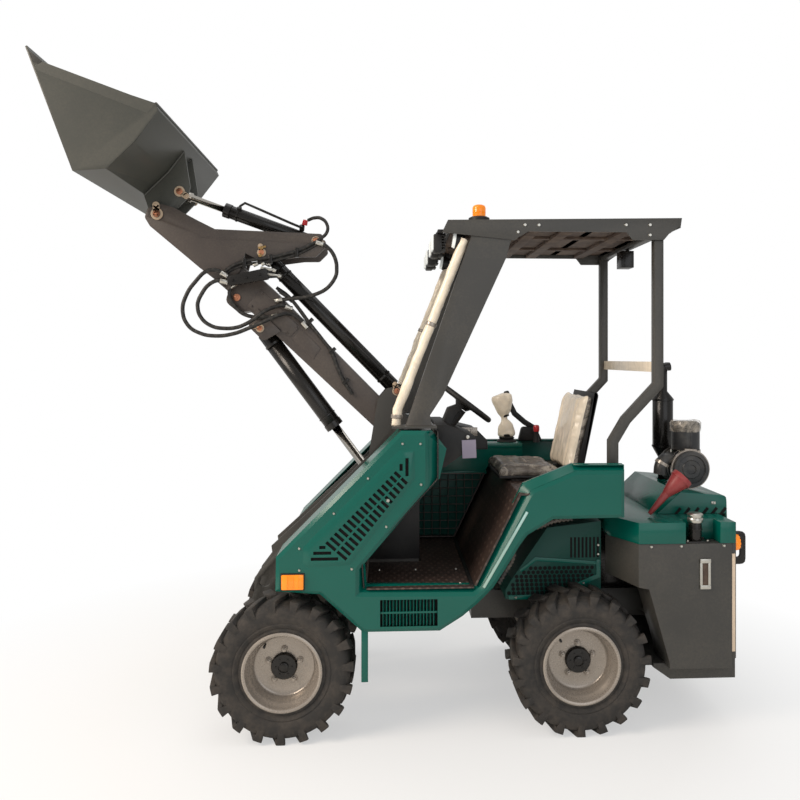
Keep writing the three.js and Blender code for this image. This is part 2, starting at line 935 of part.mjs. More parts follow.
// ---- Cylinders -------------------------------------------------------------------------
// Each spans two pins. The barrel's eye turns on the first; the rod's eye floats by the second.
const CYLINDERS = {
  lift: {
    from: LIFT_HEAD,
    to: LIFT_FOOT,
    gland: 575,
    start: 24,
    bottom: 46,
    tail: 540,
    radius: 40,
    rod: 20,
    eye: 30,
    eyeWidth: 30,
  },
  level: {
    from: LEVEL_PIN,
    to: LEVEL_HEAD,
    gland: 818,
    start: 26,
    bottom: 50,
    tail: 64,
    radius: 35,
    rod: 18,
    eye: 32,
    eyeWidth: 30,
  },
  tilt: {
    from: TILT_FOOT,
    to: TILT_HEAD,
    gland: 462,
    start: 24,
    bottom: 46,
    tail: 120,
    radius: 31,
    rod: 15,
    eye: 26,
    eyeWidth: 30,
  },
};

function cylinder({ from, to, gland, start, bottom, tail, radius, rod, eye, eyeWidth }) {
  const base = at(from);
  const along = at(to).sub(base);
  const length = along.length();
  along.normalize();
  const point = (distance) => base.clone().addScaledVector(along, distance);
  const profile = [
    [0, start],
    [radius, start],
    [radius, gland - 8],
    [radius - 6, gland],
    [rod + 1, gland],
    [rod + 1, bottom],
    [0, bottom],
  ];
  const tube = turned(profile, base, along, 18);
  const ring = pin(from, eye, -eyeWidth, eyeWidth);
  const bore = pin(from, PIN_RADIUS + 1, -eyeWidth - 5, eyeWidth + 5);
  const rodBar = bar(point(tail), point(length), rod, 14);
  const socket = bar(point(length - 40), point(length), rod + 7, 14);
  return {
    barrel: cut(join(tube, ring), bore),
    rod: join(rodBar, socket, pin(to, 25, -28, 28, 18)),
  };
}

// ---- Bucket ----------------------------------------------------------------------------
const BUCKET_TIP = [1487, 2793];
const BUCKET_HEEL = [1305, 2305];
const BUCKET_BACK = [
  [1175, 2315],
  [1066, 2422],
  [970, 2549],
];
const BUCKET_TOP = [983, 2578];
const BUCKET_PLATE = 9;

function bucket() {
  const [tipX, tipZ] = BUCKET_TIP;
  const shell = sheet(
    [BUCKET_TOP, ...BUCKET_BACK.toReversed(), BUCKET_HEEL, BUCKET_TIP],
    BUCKET_PLATE,
    -BUCKET_Y,
    BUCKET_Y,
  );
  const side = [[tipX - 30, tipZ - 62], BUCKET_TOP, ...BUCKET_BACK.toReversed(), BUCKET_HEEL];
  const sides = [-1, 1].map((s) =>
    plate(side, s * (BUCKET_Y - 5) - 5, s * (BUCKET_Y - 5) + 5),
  );
  return join(shell, ...sides);
}

const EAR_Y = 64;

function bucketBracket() {
  const points = [
    [1172, 2306],
    [1136, 2196, 24],
    [1084, 2190, 24],
    [978, 2300, 20],
    [966, 2350, 20],
    [992, 2515],
    [1064, 2419],
  ];
  const ears = [-1, 1].map((s) => plate(points.toReversed(), s * (EAR_Y + 7) - 7, s * (EAR_Y + 7) + 7));
  const pivot = pin(BUCKET_PIVOT, 17, -CHEEK_Y - CHEEK - 12, CHEEK_Y + CHEEK + 12);
  const bosses = [-1, 1].map((s) => pin(TILT_HEAD, 26, s * 53 - 12, s * 53 + 12));
  const web = plate(
    [[1064, 2419], [1172, 2306], [1160, 2296], [1054, 2404]],
    -EAR_Y - 2,
    EAR_Y + 2,
  );
  return join(...ears, pivot, ...bosses, web);
}

// ---- Hoses -----------------------------------------------------------------------------
// Each route is a list of [x, y, z] that the hose runs through.
const HOSE_RADIUS = 9;

const HOSES = {
  front_outer_hose: [
    [796, 118, 1940],
    [830, 122, 1962],
    [876, 128, 1960],
    [928, 130, 1912],
    [969, 130, 1851],
    [986, 130, 1780],
    [963, 130, 1715],
    [911, 130, 1679],
    [840, 130, 1666],
    [759, 130, 1676],
    [690, 128, 1702],
    [620, 127, 1733],
    [560, 118, 1760],
    [510, 84, 1768],
    [470, 72, 1748],
    [440, 68, 1712],
  ],
  front_inner_hose: [
    [796, 118, 1912],
    [826, 122, 1918],
    [870, 126, 1898],
    [905, 128, 1850],
    [916, 128, 1826],
    [920, 128, 1800],
    [905, 128, 1750],
    [860, 128, 1712],
    [800, 128, 1700],
    [740, 126, 1706],
    [710, 126, 1718],
    [680, 125, 1735],
    [626, 124, 1776],
    [580, 94, 1800],
    [545, 78, 1808],
    [512, 67, 1796],
  ],
  rear_loop_hose: [
    [382, 118, 2092],
    [354, 115, 2085],
    [334, 112, 2070],
    [318, 110, 2052],
    [300, 108, 2012],
    [296, 106, 1970],
    [298, 105, 1950],
    [306, 104, 1930],
    [332, 100, 1895],
    [350, 97, 1880],
    [372, 94, 1868],
    [425, 88, 1850],
    [452, 84, 1845],
    [480, 80, 1842],
    [530, 73, 1838],
    [572, 68, 1832],
  ],
};

function addHoses() {
  for (const [name, route] of Object.entries(HOSES)) {
    add(name, hose(route, HOSE_RADIUS, 26), PLASTIC);
  }
}

// ---- Assembly --------------------------------------------------------------------------
function frontHalf() {
  add("front_chassis", frontChassis(), CHARCOAL);
  add("front_axle", axle(FRONT_AXLE_X), BLACK);
  add("left_side_panel", sidePanel(1, LEFT_OUTLINE), TEAL);
  add("right_side_panel", sidePanel(-1, RIGHT_OUTLINE), TEAL);
  add("left_vent_panel", ventPanel(1), TEAL);
  add("right_vent_panel", ventPanel(-1), TEAL);
  add("floor_pan", floorPan(), FLOOR_BROWN);
  add("foot_bulkhead", footBulkhead(), BLACK);
  add("seat_box", seatBox(), FLOOR_BROWN);
  add("side_console", sideConsole(), TEAL);
  add("mesh_wall", meshWall(), BLACK);
  add("seat_cushion", seatCushion(), BLACK);
  add("seat_back", seatBack(), CREAM);
  add("dash_console", dashConsole(), BLACK);
  add("steering_wheel", steeringWheel(), BLACK);
  add("control_lever", lever(-330, -430, 1120 + GAP, 150, 20), PLASTIC);
  add("canopy_roof", canopyRoof(), CHARCOAL);
  add("canopy_left_pillar", canopyPillar(1), CHARCOAL);
  add("canopy_right_pillar", canopyPillar(-1), CHARCOAL);
  add("canopy_rear_frame", canopyRear(), CHARCOAL);
  add("beacon", beacon(), LAMP);
  add("front_lights", frontLights(), BLACK);
  add("rear_light", rearLight(), BLACK);
}

function rearHalf() {
  add("rear_chassis", rearChassis(), CHARCOAL);
  add("rear_axle", axle(REAR_AXLE_X), BLACK);
  add("engine_block", box(-1120, -850, -115, 115, 502, 780), BLACK);
  add("engine_enclosure", engineEnclosure(), TEAL);
  add("hydraulic_tank", sideTank(1), CHARCOAL);
  add("fuel_tank", sideTank(-1), CHARCOAL);
  add("deck", deck(), TEAL);
  add("hood", hood(), TEAL);
  add("rear_grille", rearGrille(), CHARCOAL);
  add("counterweight", counterweight(), CHARCOAL);
  add("left_tail_guard", tailGuard(1), BLACK);
  add("right_tail_guard", tailGuard(-1), BLACK);
  add("muffler", muffler(), CHARCOAL);
  add("air_cleaner", airCleaner(), PLASTIC);
}

function arms() {
  add("boom_beam", boomBeam(), ARM_GREY);
  add("boom_head", boomHead(), ARM_GREY);
  add("coupler_block", couplerBlock(), BLACK);
  for (const [name, sizes] of Object.entries(CYLINDERS)) {
    const { barrel, rod } = cylinder(sizes);
    add(`${name}_cylinder_barrel`, barrel, BLACK);
    add(`${name}_cylinder_rod`, rod, CHROME);
  }
  add("bucket", bucket(), BUCKET_GREY);
  add("bucket_bracket", bucketBracket(), BUCKET_GREY);
}

frontHalf();
rearHalf();
arms();
addHoses();
wheels();

export default machine;
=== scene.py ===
from contextlib import contextmanager
from math import cos, pi, radians, sin

import bpy
from bpy.props import FloatProperty, FloatVectorProperty, IntProperty, PointerProperty
from mathutils import Matrix, Vector, noise


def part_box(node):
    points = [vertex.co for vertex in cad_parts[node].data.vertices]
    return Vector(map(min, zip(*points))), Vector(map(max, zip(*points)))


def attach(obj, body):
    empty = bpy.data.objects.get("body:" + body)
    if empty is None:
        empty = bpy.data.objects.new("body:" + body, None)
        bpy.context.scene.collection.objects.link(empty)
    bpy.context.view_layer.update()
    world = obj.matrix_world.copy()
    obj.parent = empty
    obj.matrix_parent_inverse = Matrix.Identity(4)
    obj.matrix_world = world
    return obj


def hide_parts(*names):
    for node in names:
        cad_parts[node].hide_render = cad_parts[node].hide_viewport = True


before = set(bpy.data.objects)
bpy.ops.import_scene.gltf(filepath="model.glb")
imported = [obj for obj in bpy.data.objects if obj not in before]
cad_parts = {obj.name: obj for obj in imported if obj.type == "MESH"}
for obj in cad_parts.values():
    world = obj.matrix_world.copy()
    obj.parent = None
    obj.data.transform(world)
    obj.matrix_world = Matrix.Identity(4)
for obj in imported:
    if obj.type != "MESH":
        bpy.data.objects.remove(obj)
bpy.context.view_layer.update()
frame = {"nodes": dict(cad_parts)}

bl_info = {
    "name": "Compact Loader",
    "version": (1, 0, 0),
    "blender": (4, 5, 0),
    "location": "View3D > Sidebar > Loader",
    "description": "Builds the looks of a compact articulated loader around its frame",
    "category": "Object",
}

MM = 0.001
SHEET = 3 * MM  # thickness of the folded body panels
LEFT, RIGHT = 1, -1
UP, ACROSS = (0, 0, 1), (0, 1, 0)

# ---- Where the frame's pieces are, in metres ---------------------------------------------
FRONT_TYRE, REAR_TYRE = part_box("front_left_tyre"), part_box("rear_left_tyre")
AXLE_Z = sum(c.z for c in FRONT_TYRE) / 2
FRONT_AXLE_X = sum(c.x for c in FRONT_TYRE) / 2
REAR_AXLE_X = sum(c.x for c in REAR_TYRE) / 2
WHEEL_Y = sum(c.y for c in FRONT_TYRE) / 2
TYRE_RADIUS = (FRONT_TYRE[1].z - FRONT_TYRE[0].z) / 2
BODY_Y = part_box("left_side_panel")[1].y  # outer face of the side panels
DECK_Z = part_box("deck")[1].z
FLOOR_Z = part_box("floor_pan")[1].z


# ---- Colours -----------------------------------------------------------------------------
def linear(code):
    """The linear colour of an sRGB hex code."""
    parts = [int(code[i : i + 2], 16) / 255 for i in (1, 3, 5)]
    return tuple(c / 12.92 if c <= 0.04045 else ((c + 0.055) / 1.055) ** 2.4 for c in parts)


def tint(colour, amount=1.0):
    """A colour made darker or lighter, with its alpha, as shader sockets take it."""
    return (*(c * amount for c in colour), 1.0)


class LoaderColours(bpy.types.PropertyGroup):
    """The colours that the machine is sprayed in."""

    body: FloatVectorProperty(
        name="Body paint", description="Enamel on the body panels", subtype="COLOR", default=linear("#00584c")
    )
    frame: FloatVectorProperty(
        name="Frame paint", description="Enamel on tanks and roof", subtype="COLOR", default=linear("#403f3c")
    )
    arm: FloatVectorProperty(
        name="Arm paint", description="Enamel on the boom", subtype="COLOR", default=linear("#4b4440")
    )
    bucket: FloatVectorProperty(
        name="Bucket paint", description="Enamel on the bucket", subtype="COLOR", default=linear("#454641")
    )
    rim: FloatVectorProperty(
        name="Rim paint", description="Silver on the wheel rims", subtype="COLOR", default=linear("#a39a90")
    )


class LoaderSizes(bpy.types.PropertyGroup):
    """Sizes and counts of the fine pieces that are added to the frame."""

    lug_count: IntProperty(
        name="Tread lugs", description="Lugs on each half of a tyre", default=19, min=8, max=40
    )
    lug_height: FloatProperty(
        name="Lug height", description="Height of a tread lug", default=17 * MM, min=0, subtype="DISTANCE"
    )
    nut_count: IntProperty(name="Wheel nuts", description="Nuts on each wheel", default=5, min=3, max=10)
    vent_slots: IntProperty(
        name="Vent slots", description="Slanted slots in each side vent", default=17, min=2, max=30
    )


# ---- Making materials --------------------------------------------------------------------
FINISHES = {}
MIX_A, MIX_B, MIX_RESULT = 6, 7, 2  # a Mix node's sockets when it mixes colours
WHITE = (1, 1, 1, 1)


def node(tree, kind, values=None, links=None):
    """Adds a shader node: values go to its inputs or attributes, links feed its inputs."""
    made = tree.nodes.new(kind)
    for key, value in (values or {}).items():
        if isinstance(key, int) or key in made.inputs:
            made.inputs[key].default_value = value
        else:
            setattr(made, key, value)
    for key, output in (links or {}).items():
        tree.links.new(output, made.inputs[key])
    return made


def new_material(name):
    """Starts a finish. Returns its tree, its Principled surface and a link from object coordinates."""
    material = bpy.data.materials.new(name)
    material.use_nodes = True
    FINISHES[name] = material
    tree = material.node_tree
    place = {"Vector": node(tree, "ShaderNodeTexCoord").outputs["Object"]}
    return tree, tree.nodes["Principled BSDF"], place


def cover(tree, surface, colour, roughness, relief=None):
    """Gives a surface its colour, its roughness, as a number or a pattern, and its relief."""
    tree.links.new(colour, surface.inputs["Base Color"])
    if isinstance(roughness, float):
        surface.inputs["Roughness"].default_value = roughness
    else:
        tree.links.new(roughness, surface.inputs["Roughness"])
    if relief:
        tree.links.new(relief, surface.inputs["Normal"])


def per_metre(size_mm):
    """A texture's scale for features of this size."""
    return 1000 / size_mm


def wave_scale(pitch_mm):
    """A Wave texture's scale for waves this far apart: at scale 1 it turns through 20 radians in a metre."""
    return 2 * pi * per_metre(pitch_mm) / 20


def enamel(name, colour, dust, gloss, dust_share, peel_mm=3.0, metallic=0.0):
    """Sprayed enamel on steel: soft gloss, fine orange peel, dust that lies in loose patches."""
    tree, surface, place = new_material(name)
    cloud_size = {"Scale": per_metre(260), "Detail": 6, "Roughness": 0.6}
    cloud = node(tree, "ShaderNodeTexNoise", cloud_size, place).outputs["Fac"]
    speck_size = {"Scale": per_metre(9), "Detail": 4, "Roughness": 0.7}
    speck = node(tree, "ShaderNodeTexNoise", speck_size, place).outputs["Fac"]
    mixed = node(tree, "ShaderNodeMath", {"operation": "MULTIPLY"}, {0: cloud, 1: speck})
    reach = {"From Min": 0.2, "From Max": 0.42, "To Max": dust_share}
    patches = node(tree, "ShaderNodeMapRange", reach, {"Value": mixed.outputs[0]}).outputs[0]
    tones = {"data_type": "RGBA", MIX_A: tint(colour, 0.9), MIX_B: tint(colour, 1.1)}
    clean = node(tree, "ShaderNodeMix", tones, {0: cloud}).outputs[MIX_RESULT]
    dusty = node(tree, "ShaderNodeMix", {"data_type": "RGBA", MIX_B: tint(dust)}, {0: patches, MIX_A: clean})
    rough = node(tree, "ShaderNodeMapRange", {"To Min": gloss, "To Max": gloss + 0.3}, {"Value": patches})
    peel = node(tree, "ShaderNodeTexNoise", {"Scale": per_metre(peel_mm), "Detail": 2}, place)
    depth = {"Strength": 0.12, "Distance": 0.2 * MM}
    relief = node(tree, "ShaderNodeBump", depth, {"Height": peel.outputs["Fac"]})
    cover(tree, surface, dusty.outputs[MIX_RESULT], rough.outputs[0], relief.outputs[0])
    surface.inputs["Metallic"].default_value = metallic
    surface.inputs["Specular IOR Level"].default_value = 0.35
    surface.inputs["Coat Weight"].default_value = 0.1
    surface.inputs["Coat Roughness"].default_value = 0.15


def plated(name, colour, roughness, lines_mm=0.0):
    """Plated or ground metal: bright, with grinding lines round a rod when their pitch is given."""
    tree, surface, place = new_material(name)
    smear = node(tree, "ShaderNodeTexNoise", {"Scale": per_metre(35), "Detail": 5}, place).outputs["Fac"]
    tones = {"data_type": "RGBA", MIX_A: tint(linear(colour), 0.82), MIX_B: tint(linear(colour))}
    tone = node(tree, "ShaderNodeMix", tones, {0: smear})
    reach = {"To Min": roughness * 0.6, "To Max": roughness * 1.5}
    rough = node(tree, "ShaderNodeMapRange", reach, {"Value": smear})
    cover(tree, surface, tone.outputs[MIX_RESULT], rough.outputs[0])
    surface.inputs["Metallic"].default_value = 1.0
    if lines_mm:
        lines = node(tree, "ShaderNodeTexNoise", {"Scale": per_metre(lines_mm), "Detail": 3}, place)
        depth = {"Strength": 0.25, "Distance": 0.1 * MM}
        relief = node(tree, "ShaderNodeBump", depth, {"Height": lines.outputs["Fac"]})
        tree.links.new(relief.outputs[0], surface.inputs["Normal"])


def moulded(name, colour, roughness, grain_mm, relief_mm=0.25, dust="#8c8478", dust_share=0.25):
    """Moulded plastic or rubber: even colour with a fine leathery grain and some dust."""
    tree, surface, place = new_material(name)
    grain = node(tree, "ShaderNodeTexVoronoi", {"Scale": per_metre(grain_mm)}, place)
    cloud_size = {"Scale": per_metre(90), "Detail": 8, "Roughness": 0.65}
    cloud = node(tree, "ShaderNodeTexNoise", cloud_size, place)
    reach = {"From Min": 0.45, "From Max": 0.75, "To Max": dust_share}
    patches = node(tree, "ShaderNodeMapRange", reach, {"Value": cloud.outputs["Fac"]})
    tones = {"data_type": "RGBA", MIX_A: tint(linear(colour)), MIX_B: tint(linear(dust))}
    tone = node(tree, "ShaderNodeMix", tones, {0: patches.outputs[0]})
    depth = {"Strength": 0.5, "Distance": relief_mm * MM}
    relief = node(tree, "ShaderNodeBump", depth, {"Height": grain.outputs["Distance"]})
    cover(tree, surface, tone.outputs[MIX_RESULT], roughness, relief.outputs[0])


def tyre_rubber():
    """Vulcanised rubber: matt, and brownish where dry soil has dusted it in patches."""
    tree, surface, place = new_material("tyre rubber")
    cloud_size = {"Scale": per_metre(60), "Detail": 8, "Roughness": 0.7}
    cloud = node(tree, "ShaderNodeTexNoise", cloud_size, place)
    fine = node(tree, "ShaderNodeTexNoise", {"Scale": per_metre(2.5), "Detail": 3}, place)
    reach = {"From Min": 0.42, "From Max": 0.68, "To Max": 0.6}
    patches = node(tree, "ShaderNodeMapRange", reach, {"Value": cloud.outputs["Fac"]})
    tones = {"data_type": "RGBA", MIX_A: tint(linear("#2b2927")), MIX_B: tint(linear("#524a42"))}
    tone = node(tree, "ShaderNodeMix", tones, {0: patches.outputs[0]})
    depth = {"Strength": 0.35, "Distance": 0.5 * MM}
    relief = node(tree, "ShaderNodeBump", depth, {"Height": fine.outputs["Fac"]})
    cover(tree, surface, tone.outputs[MIX_RESULT], 0.78, relief.outputs[0])


def braided_hose():
    """Rubber hose under a woven cover: a diagonal braid, drawn 25 mm apart so that it shows."""
    tree, surface, place = new_material("braided hose rubber")
    waves = []
    for side in (LEFT, RIGHT):
        leaning = node(tree, "ShaderNodeMapping", {"Rotation": (0, side * radians(45), 0)}, place)
        strands = {"Scale": wave_scale(25.13), "Distortion": 0.4}
        waves.append(node(tree, "ShaderNodeTexWave", strands, {"Vector": leaning.outputs[0]}).outputs["Fac"])
    weave = node(tree, "ShaderNodeMath", {"operation": "MULTIPLY"}, {0: waves[0], 1: waves[1]}).outputs[0]
    tones = {"data_type": "RGBA", MIX_A: tint(linear("#171614")), MIX_B: tint(linear("#36332f"))}
    tone = node(tree, "ShaderNodeMix", tones, {0: weave})
    relief = node(tree, "ShaderNodeBump", {"Strength": 0.5, "Distance": 0.5 * MM}, {"Height": weave})
    cover(tree, surface, tone.outputs[MIX_RESULT], 0.55, relief.outputs[0])


def tread_plate():
    """Painted chequer plate: raised diamonds 24 mm apart that shoes have rubbed paler."""
    tree, surface, place = new_material("painted tread plate")
    layers = []
    for side in (LEFT, RIGHT):
        lean = {"Rotation": (0, 0, side * radians(45)), "Scale": (1.0, 0.45, 1.0)}
        leaning = {"Vector": node(tree, "ShaderNodeMapping", lean, place).outputs[0]}
        cells = node(tree, "ShaderNodeTexVoronoi", {"Scale": per_metre(24), "Randomness": 0.0}, leaning)
        reach = {"From Min": 0.36, "From Max": 0.24}
        layers.append(node(tree, "ShaderNodeMapRange", reach, {"Value": cells.outputs["Distance"]}))
    both = {0: layers[0].outputs[0], 1: layers[1].outputs[0]}
    raised = node(tree, "ShaderNodeMath", {"operation": "MAXIMUM"}, both).outputs[0]
    cloud = node(tree, "ShaderNodeTexNoise", {"Scale": per_metre(120), "Detail": 7}, place).outputs["Fac"]
    worn = node(tree, "ShaderNodeMath", {"operation": "MULTIPLY"}, {0: raised, 1: cloud}).outputs[0]
    tones = {"data_type": "RGBA", MIX_A: tint(linear("#2a201d")), MIX_B: tint(linear("#45362f"))}
    base = node(tree, "ShaderNodeMix", tones, {0: cloud}).outputs[MIX_RESULT]
    rubbed = {"data_type": "RGBA", MIX_B: tint(linear("#6b5a50"))}
    tone = node(tree, "ShaderNodeMix", rubbed, {0: worn, MIX_A: base})
    relief = node(tree, "ShaderNodeBump", {"Strength": 0.6, "Distance": 1.5 * MM}, {"Height": raised})
    cover(tree, surface, tone.outputs[MIX_RESULT], 0.45, relief.outputs[0])


def seat_vinyl():
    """Black-brown leathercloth: 3 mm pebble grain, a soft sheen."""
    tree, surface, place = new_material("seat leathercloth")
    pebble = node(tree, "ShaderNodeTexVoronoi", {"Scale": per_metre(3)}, place)
    cloud = node(tree, "ShaderNodeTexNoise", {"Scale": per_metre(70), "Detail": 5}, place)
    tones = {"data_type": "RGBA", MIX_A: tint(linear("#2f2927")), MIX_B: tint(linear("#554a45"))}
    tone = node(tree, "ShaderNodeMix", tones, {0: cloud.outputs["Fac"]})
    depth = {"Strength": 0.6, "Distance": 0.4 * MM}
    relief = node(tree, "ShaderNodeBump", depth, {"Height": pebble.outputs["Distance"]})
    cover(tree, surface, tone.outputs[MIX_RESULT], 0.42, relief.outputs[0])


def wrapping_film(name, colour, creases_mm, see_through=0.0):
    """Thin polythene wrapping: milky, creased, with bright wet-looking ridges."""
    tree, surface, place = new_material(name)
    crease_size = {"Scale": per_metre(creases_mm), "Detail": 5, "Roughness": 0.55, "Distortion": 1.2}
    creases = node(tree, "ShaderNodeTexNoise", crease_size, place).outputs["Fac"]
    height = {"From Min": 0.4, "From Max": 0.62}
    ridge = node(tree, "ShaderNodeMapRange", height, {"Value": creases}).outputs[0]
    tones = {"data_type": "RGBA", MIX_A: tint(linear(colour), 0.86), MIX_B: tint(linear(colour))}
    tone = node(tree, "ShaderNodeMix", tones, {0: ridge})
    relief = node(tree, "ShaderNodeBump", {"Strength": 0.8, "Distance": 3 * MM}, {"Height": creases})
    cover(tree, surface, tone.outputs[MIX_RESULT], 0.16, relief.outputs[0])
    if see_through:
        reach = {"To Min": 1 - see_through, "To Max": 1 - see_through * 0.45}
        clear = node(tree, "ShaderNodeMapRange", reach, {"Value": ridge})
        tree.links.new(clear.outputs[0], surface.inputs["Alpha"])


def lens(name, colour, ribs_mm, glow):
    """Moulded polycarbonate lens: clear gloss over broad ribs."""
    tree, surface, place = new_material(name)
    ribs = node(tree, "ShaderNodeTexWave", {"Scale": wave_scale(ribs_mm)}, place).outputs["Fac"]
    tones = {"data_type": "RGBA", MIX_A: tint(linear(colour), 0.8), MIX_B: tint(linear(colour))}
    tone = node(tree, "ShaderNodeMix", tones, {0: ribs})
    relief = node(tree, "ShaderNodeBump", {"Strength": 0.4, "Distance": 0.6 * MM}, {"Height": ribs})
    cover(tree, surface, tone.outputs[MIX_RESULT], 0.12, relief.outputs[0])
    surface.inputs["Emission Color"].default_value = tint(linear(colour))
    surface.inputs["Emission Strength"].default_value = glow


def make_finishes():
    colours = bpy.context.scene.loader_colours
    dust = linear("#7d7363")
    # Green enamel on folded sheet, glossy with a light orange peel.
    enamel("green enamel", colours.body, linear("#156353"), gloss=0.22, dust_share=0.06)
    # The same green where dust and shade have dulled it under the arch.
    enamel("dulled green enamel", tint(colours.body, 0.55)[:3], linear("#0d3f35"), gloss=0.62, dust_share=0.1)
    # Charcoal enamel of the chassis, roof, posts, tanks and tail weight.
    enamel("charcoal enamel", colours.frame, dust, gloss=0.4, dust_share=0.14)
    # Warm grey enamel on thick welded plate.
    enamel("arm enamel", colours.arm, dust, gloss=0.38, dust_share=0.2, peel_mm=5)
    # Grey enamel on the bucket, sprayed thick.
    enamel("bucket enamel", colours.bucket, dust, gloss=0.42, dust_share=0.1, peel_mm=4)
    # Black enamel on cylinders and axles, glossy and dusty.
    enamel("black enamel", linear("#161412"), linear("#4a433b"), gloss=0.26, dust_share=0.14)
    # Silver wheel paint: fine metallic flake under a satin lacquer.
    enamel("rim silver paint", colours.rim, linear("#8c8272"), gloss=0.26, dust_share=0.25, metallic=0.45)
    # Hard chrome on piston rods, mirror-bright.
    plated("hard chrome", "#d6d0c6", roughness=0.14)
    # Bright zinc on screws, clamps and ferrules.
    plated("bright zinc", "#c9c6bd", roughness=0.3)
    # Copper-coloured grease on the pins' bare ends, with the lines of a lathe.
    plated("coppered pin steel", "#c98a6b", roughness=0.35, lines_mm=2)
    # Pale primed steel of the pins' bosses and keepers.
    moulded("worn pin boss", "#b9a58c", 0.4, grain_mm=3, relief_mm=0.15, dust="#8a6a52", dust_share=0.35)
    # Brass of the hose fittings.
    plated("fitting brass", "#a88a5c", roughness=0.34)
    # Black ABS: dull with a fine spark-eroded grain.
    moulded("black ABS", "#0d0c0c", 0.55, grain_mm=1.6, relief_mm=0.2, dust="#5a544b", dust_share=0.12)
    # Unlit black inside the vents and screens.
    moulded("matt black inside", "#050505", 0.95, grain_mm=6, relief_mm=0.05, dust="#0b0b0a", dust_share=0.1)
    # Charcoal polypropylene of the air cleaner, with a little more sheen.
    moulded("filter housing plastic", "#26282a", 0.4, grain_mm=2.5, relief_mm=0.15)
    # Red polythene funnel, dulled by the sun.
    moulded("red polythene", "#8d2b2d", 0.45, grain_mm=4, relief_mm=0.2, dust="#a05a52", dust_share=0.4)
    # Red PVC knobs and caps, smooth and clean.
    moulded("red knob plastic", "#c3262d", 0.3, grain_mm=5, relief_mm=0.05, dust="#d06a66", dust_share=0.1)
    # Soft black convoluted conduit under a coat of dust.
    moulded("corrugated hose plastic", "#2b2826", 0.5, grain_mm=2, relief_mm=0.1, dust="#9a8d79",
            dust_share=0.55)
    # Paper tag, pale lilac.
    moulded("tag paper", "#a49bad", 0.8, grain_mm=1.5, relief_mm=0.05, dust="#8c8596", dust_share=0.3)
    # Felt-like lining under the roof, brown with dust.
    moulded("roof lining", "#4a3b32", 0.75, grain_mm=3, relief_mm=0.2, dust="#8a7562", dust_share=0.5)
    # Bare brushed strip along the step edge.
    plated("polished guard strip", "#b9d8cd", roughness=0.34)
    # Pale foam strip at the tail.
    moulded("foam strip", "#d8c3ab", 0.8, grain_mm=3, relief_mm=0.3, dust="#a08f7c", dust_share=0.3)
    tyre_rubber()
    braided_hose()
    tread_plate()
    seat_vinyl()
    # Milky polythene film on the seat's back, the stays and the lever.
    wrapping_film("cream wrapping film", "#fff0d8", creases_mm=70)
    # Clear polythene film over the cushions, so that the leathercloth shows through.
    wrapping_film("clear wrapping film", "#d8cdbd", creases_mm=60, see_through=0.86)
    # Orange polycarbonate of the turn lamps and the beacon.
    lens("amber lens", "#f78a1c", ribs_mm=56.55, glow=0.35)
    # Clear polycarbonate of the work lamps.
    lens("clear lens", "#e9ece9", ribs_mm=37.7, glow=0.25)


# ---- Modelling ---------------------------------------------------------------------------
def deselect():
    if bpy.context.object and bpy.context.object.mode != "OBJECT":
        bpy.ops.object.mode_set(mode="OBJECT")
    bpy.ops.object.select_all(action="DESELECT")


def pick(*objects):
    deselect()
    for o in objects:
        o.select_set(True)
    bpy.context.view_layer.objects.active = objects[0]


@contextmanager
def edited(obj):
    """Edit mode on one mesh, with all of it selected."""
    pick(obj)
    bpy.ops.object.mode_set(mode="EDIT")
    bpy.ops.mesh.select_all(action="SELECT")
    yield
    bpy.ops.object.mode_set(mode="OBJECT")


def merged(obj):
    """Merges doubles and turns the faces outwards."""
    with edited(obj):
        bpy.ops.mesh.remove_doubles(threshold=0.02 * MM)
        bpy.ops.mesh.normals_make_consistent(inside=False)
    return obj


def placed(obj):
    """Puts the object's place into its mesh, so that its origin is the frame's."""
    pick(obj)
    bpy.ops.object.transform_apply(location=True, rotation=True, scale=True)
    return obj


def modified(obj, kind, **settings):
    """Adds a modifier and applies it."""
    pick(obj)
    modifier = obj.modifiers.new(kind.lower(), kind)
    for key, value in settings.items():
        setattr(modifier, key, value)
    bpy.ops.object.modifier_apply(modifier=modifier.name)
    return obj


def softened(obj, width, segments=2, angle=35):
    """Rounds the edges that are sharper than an angle. The width is in metres."""
    return modified(obj, "BEVEL", width=width, segments=segments, limit_method="ANGLE",
                    angle_limit=radians(angle))


def smoothed(obj):
    """Divides each face in four, on a smooth surface."""
    return modified(obj, "SUBSURF", levels=1, render_levels=1)


def in_a_row(obj, count, step):
    """Repeats a piece along the machine, with a step in metres."""
    return modified(obj, "ARRAY", count=count, use_relative_offset=False, use_constant_offset=True,
                    constant_offset_displace=(step, 0, 0))


def joined(*objects):
    if len(objects) > 1:
        pick(*objects)
        bpy.ops.object.join()
    return objects[0]


def copied(obj, offset=(0, 0, 0), mirror_y=False):
    """A copy with its own mesh, mirrored across the machine, then moved."""
    pick(obj)
    bpy.ops.object.duplicate(linked=False)
    made = bpy.context.object
    if mirror_y:
        bpy.ops.transform.mirror(constraint_axis=(False, True, False), center_override=(0, 0, 0))
        placed(made)
        merged(made)
    if any(offset):
        bpy.ops.transform.translate(value=offset)
        placed(made)
    return made


def at(x, y, z):
    """A place given in millimetres."""
    return (x * MM, y * MM, z * MM)


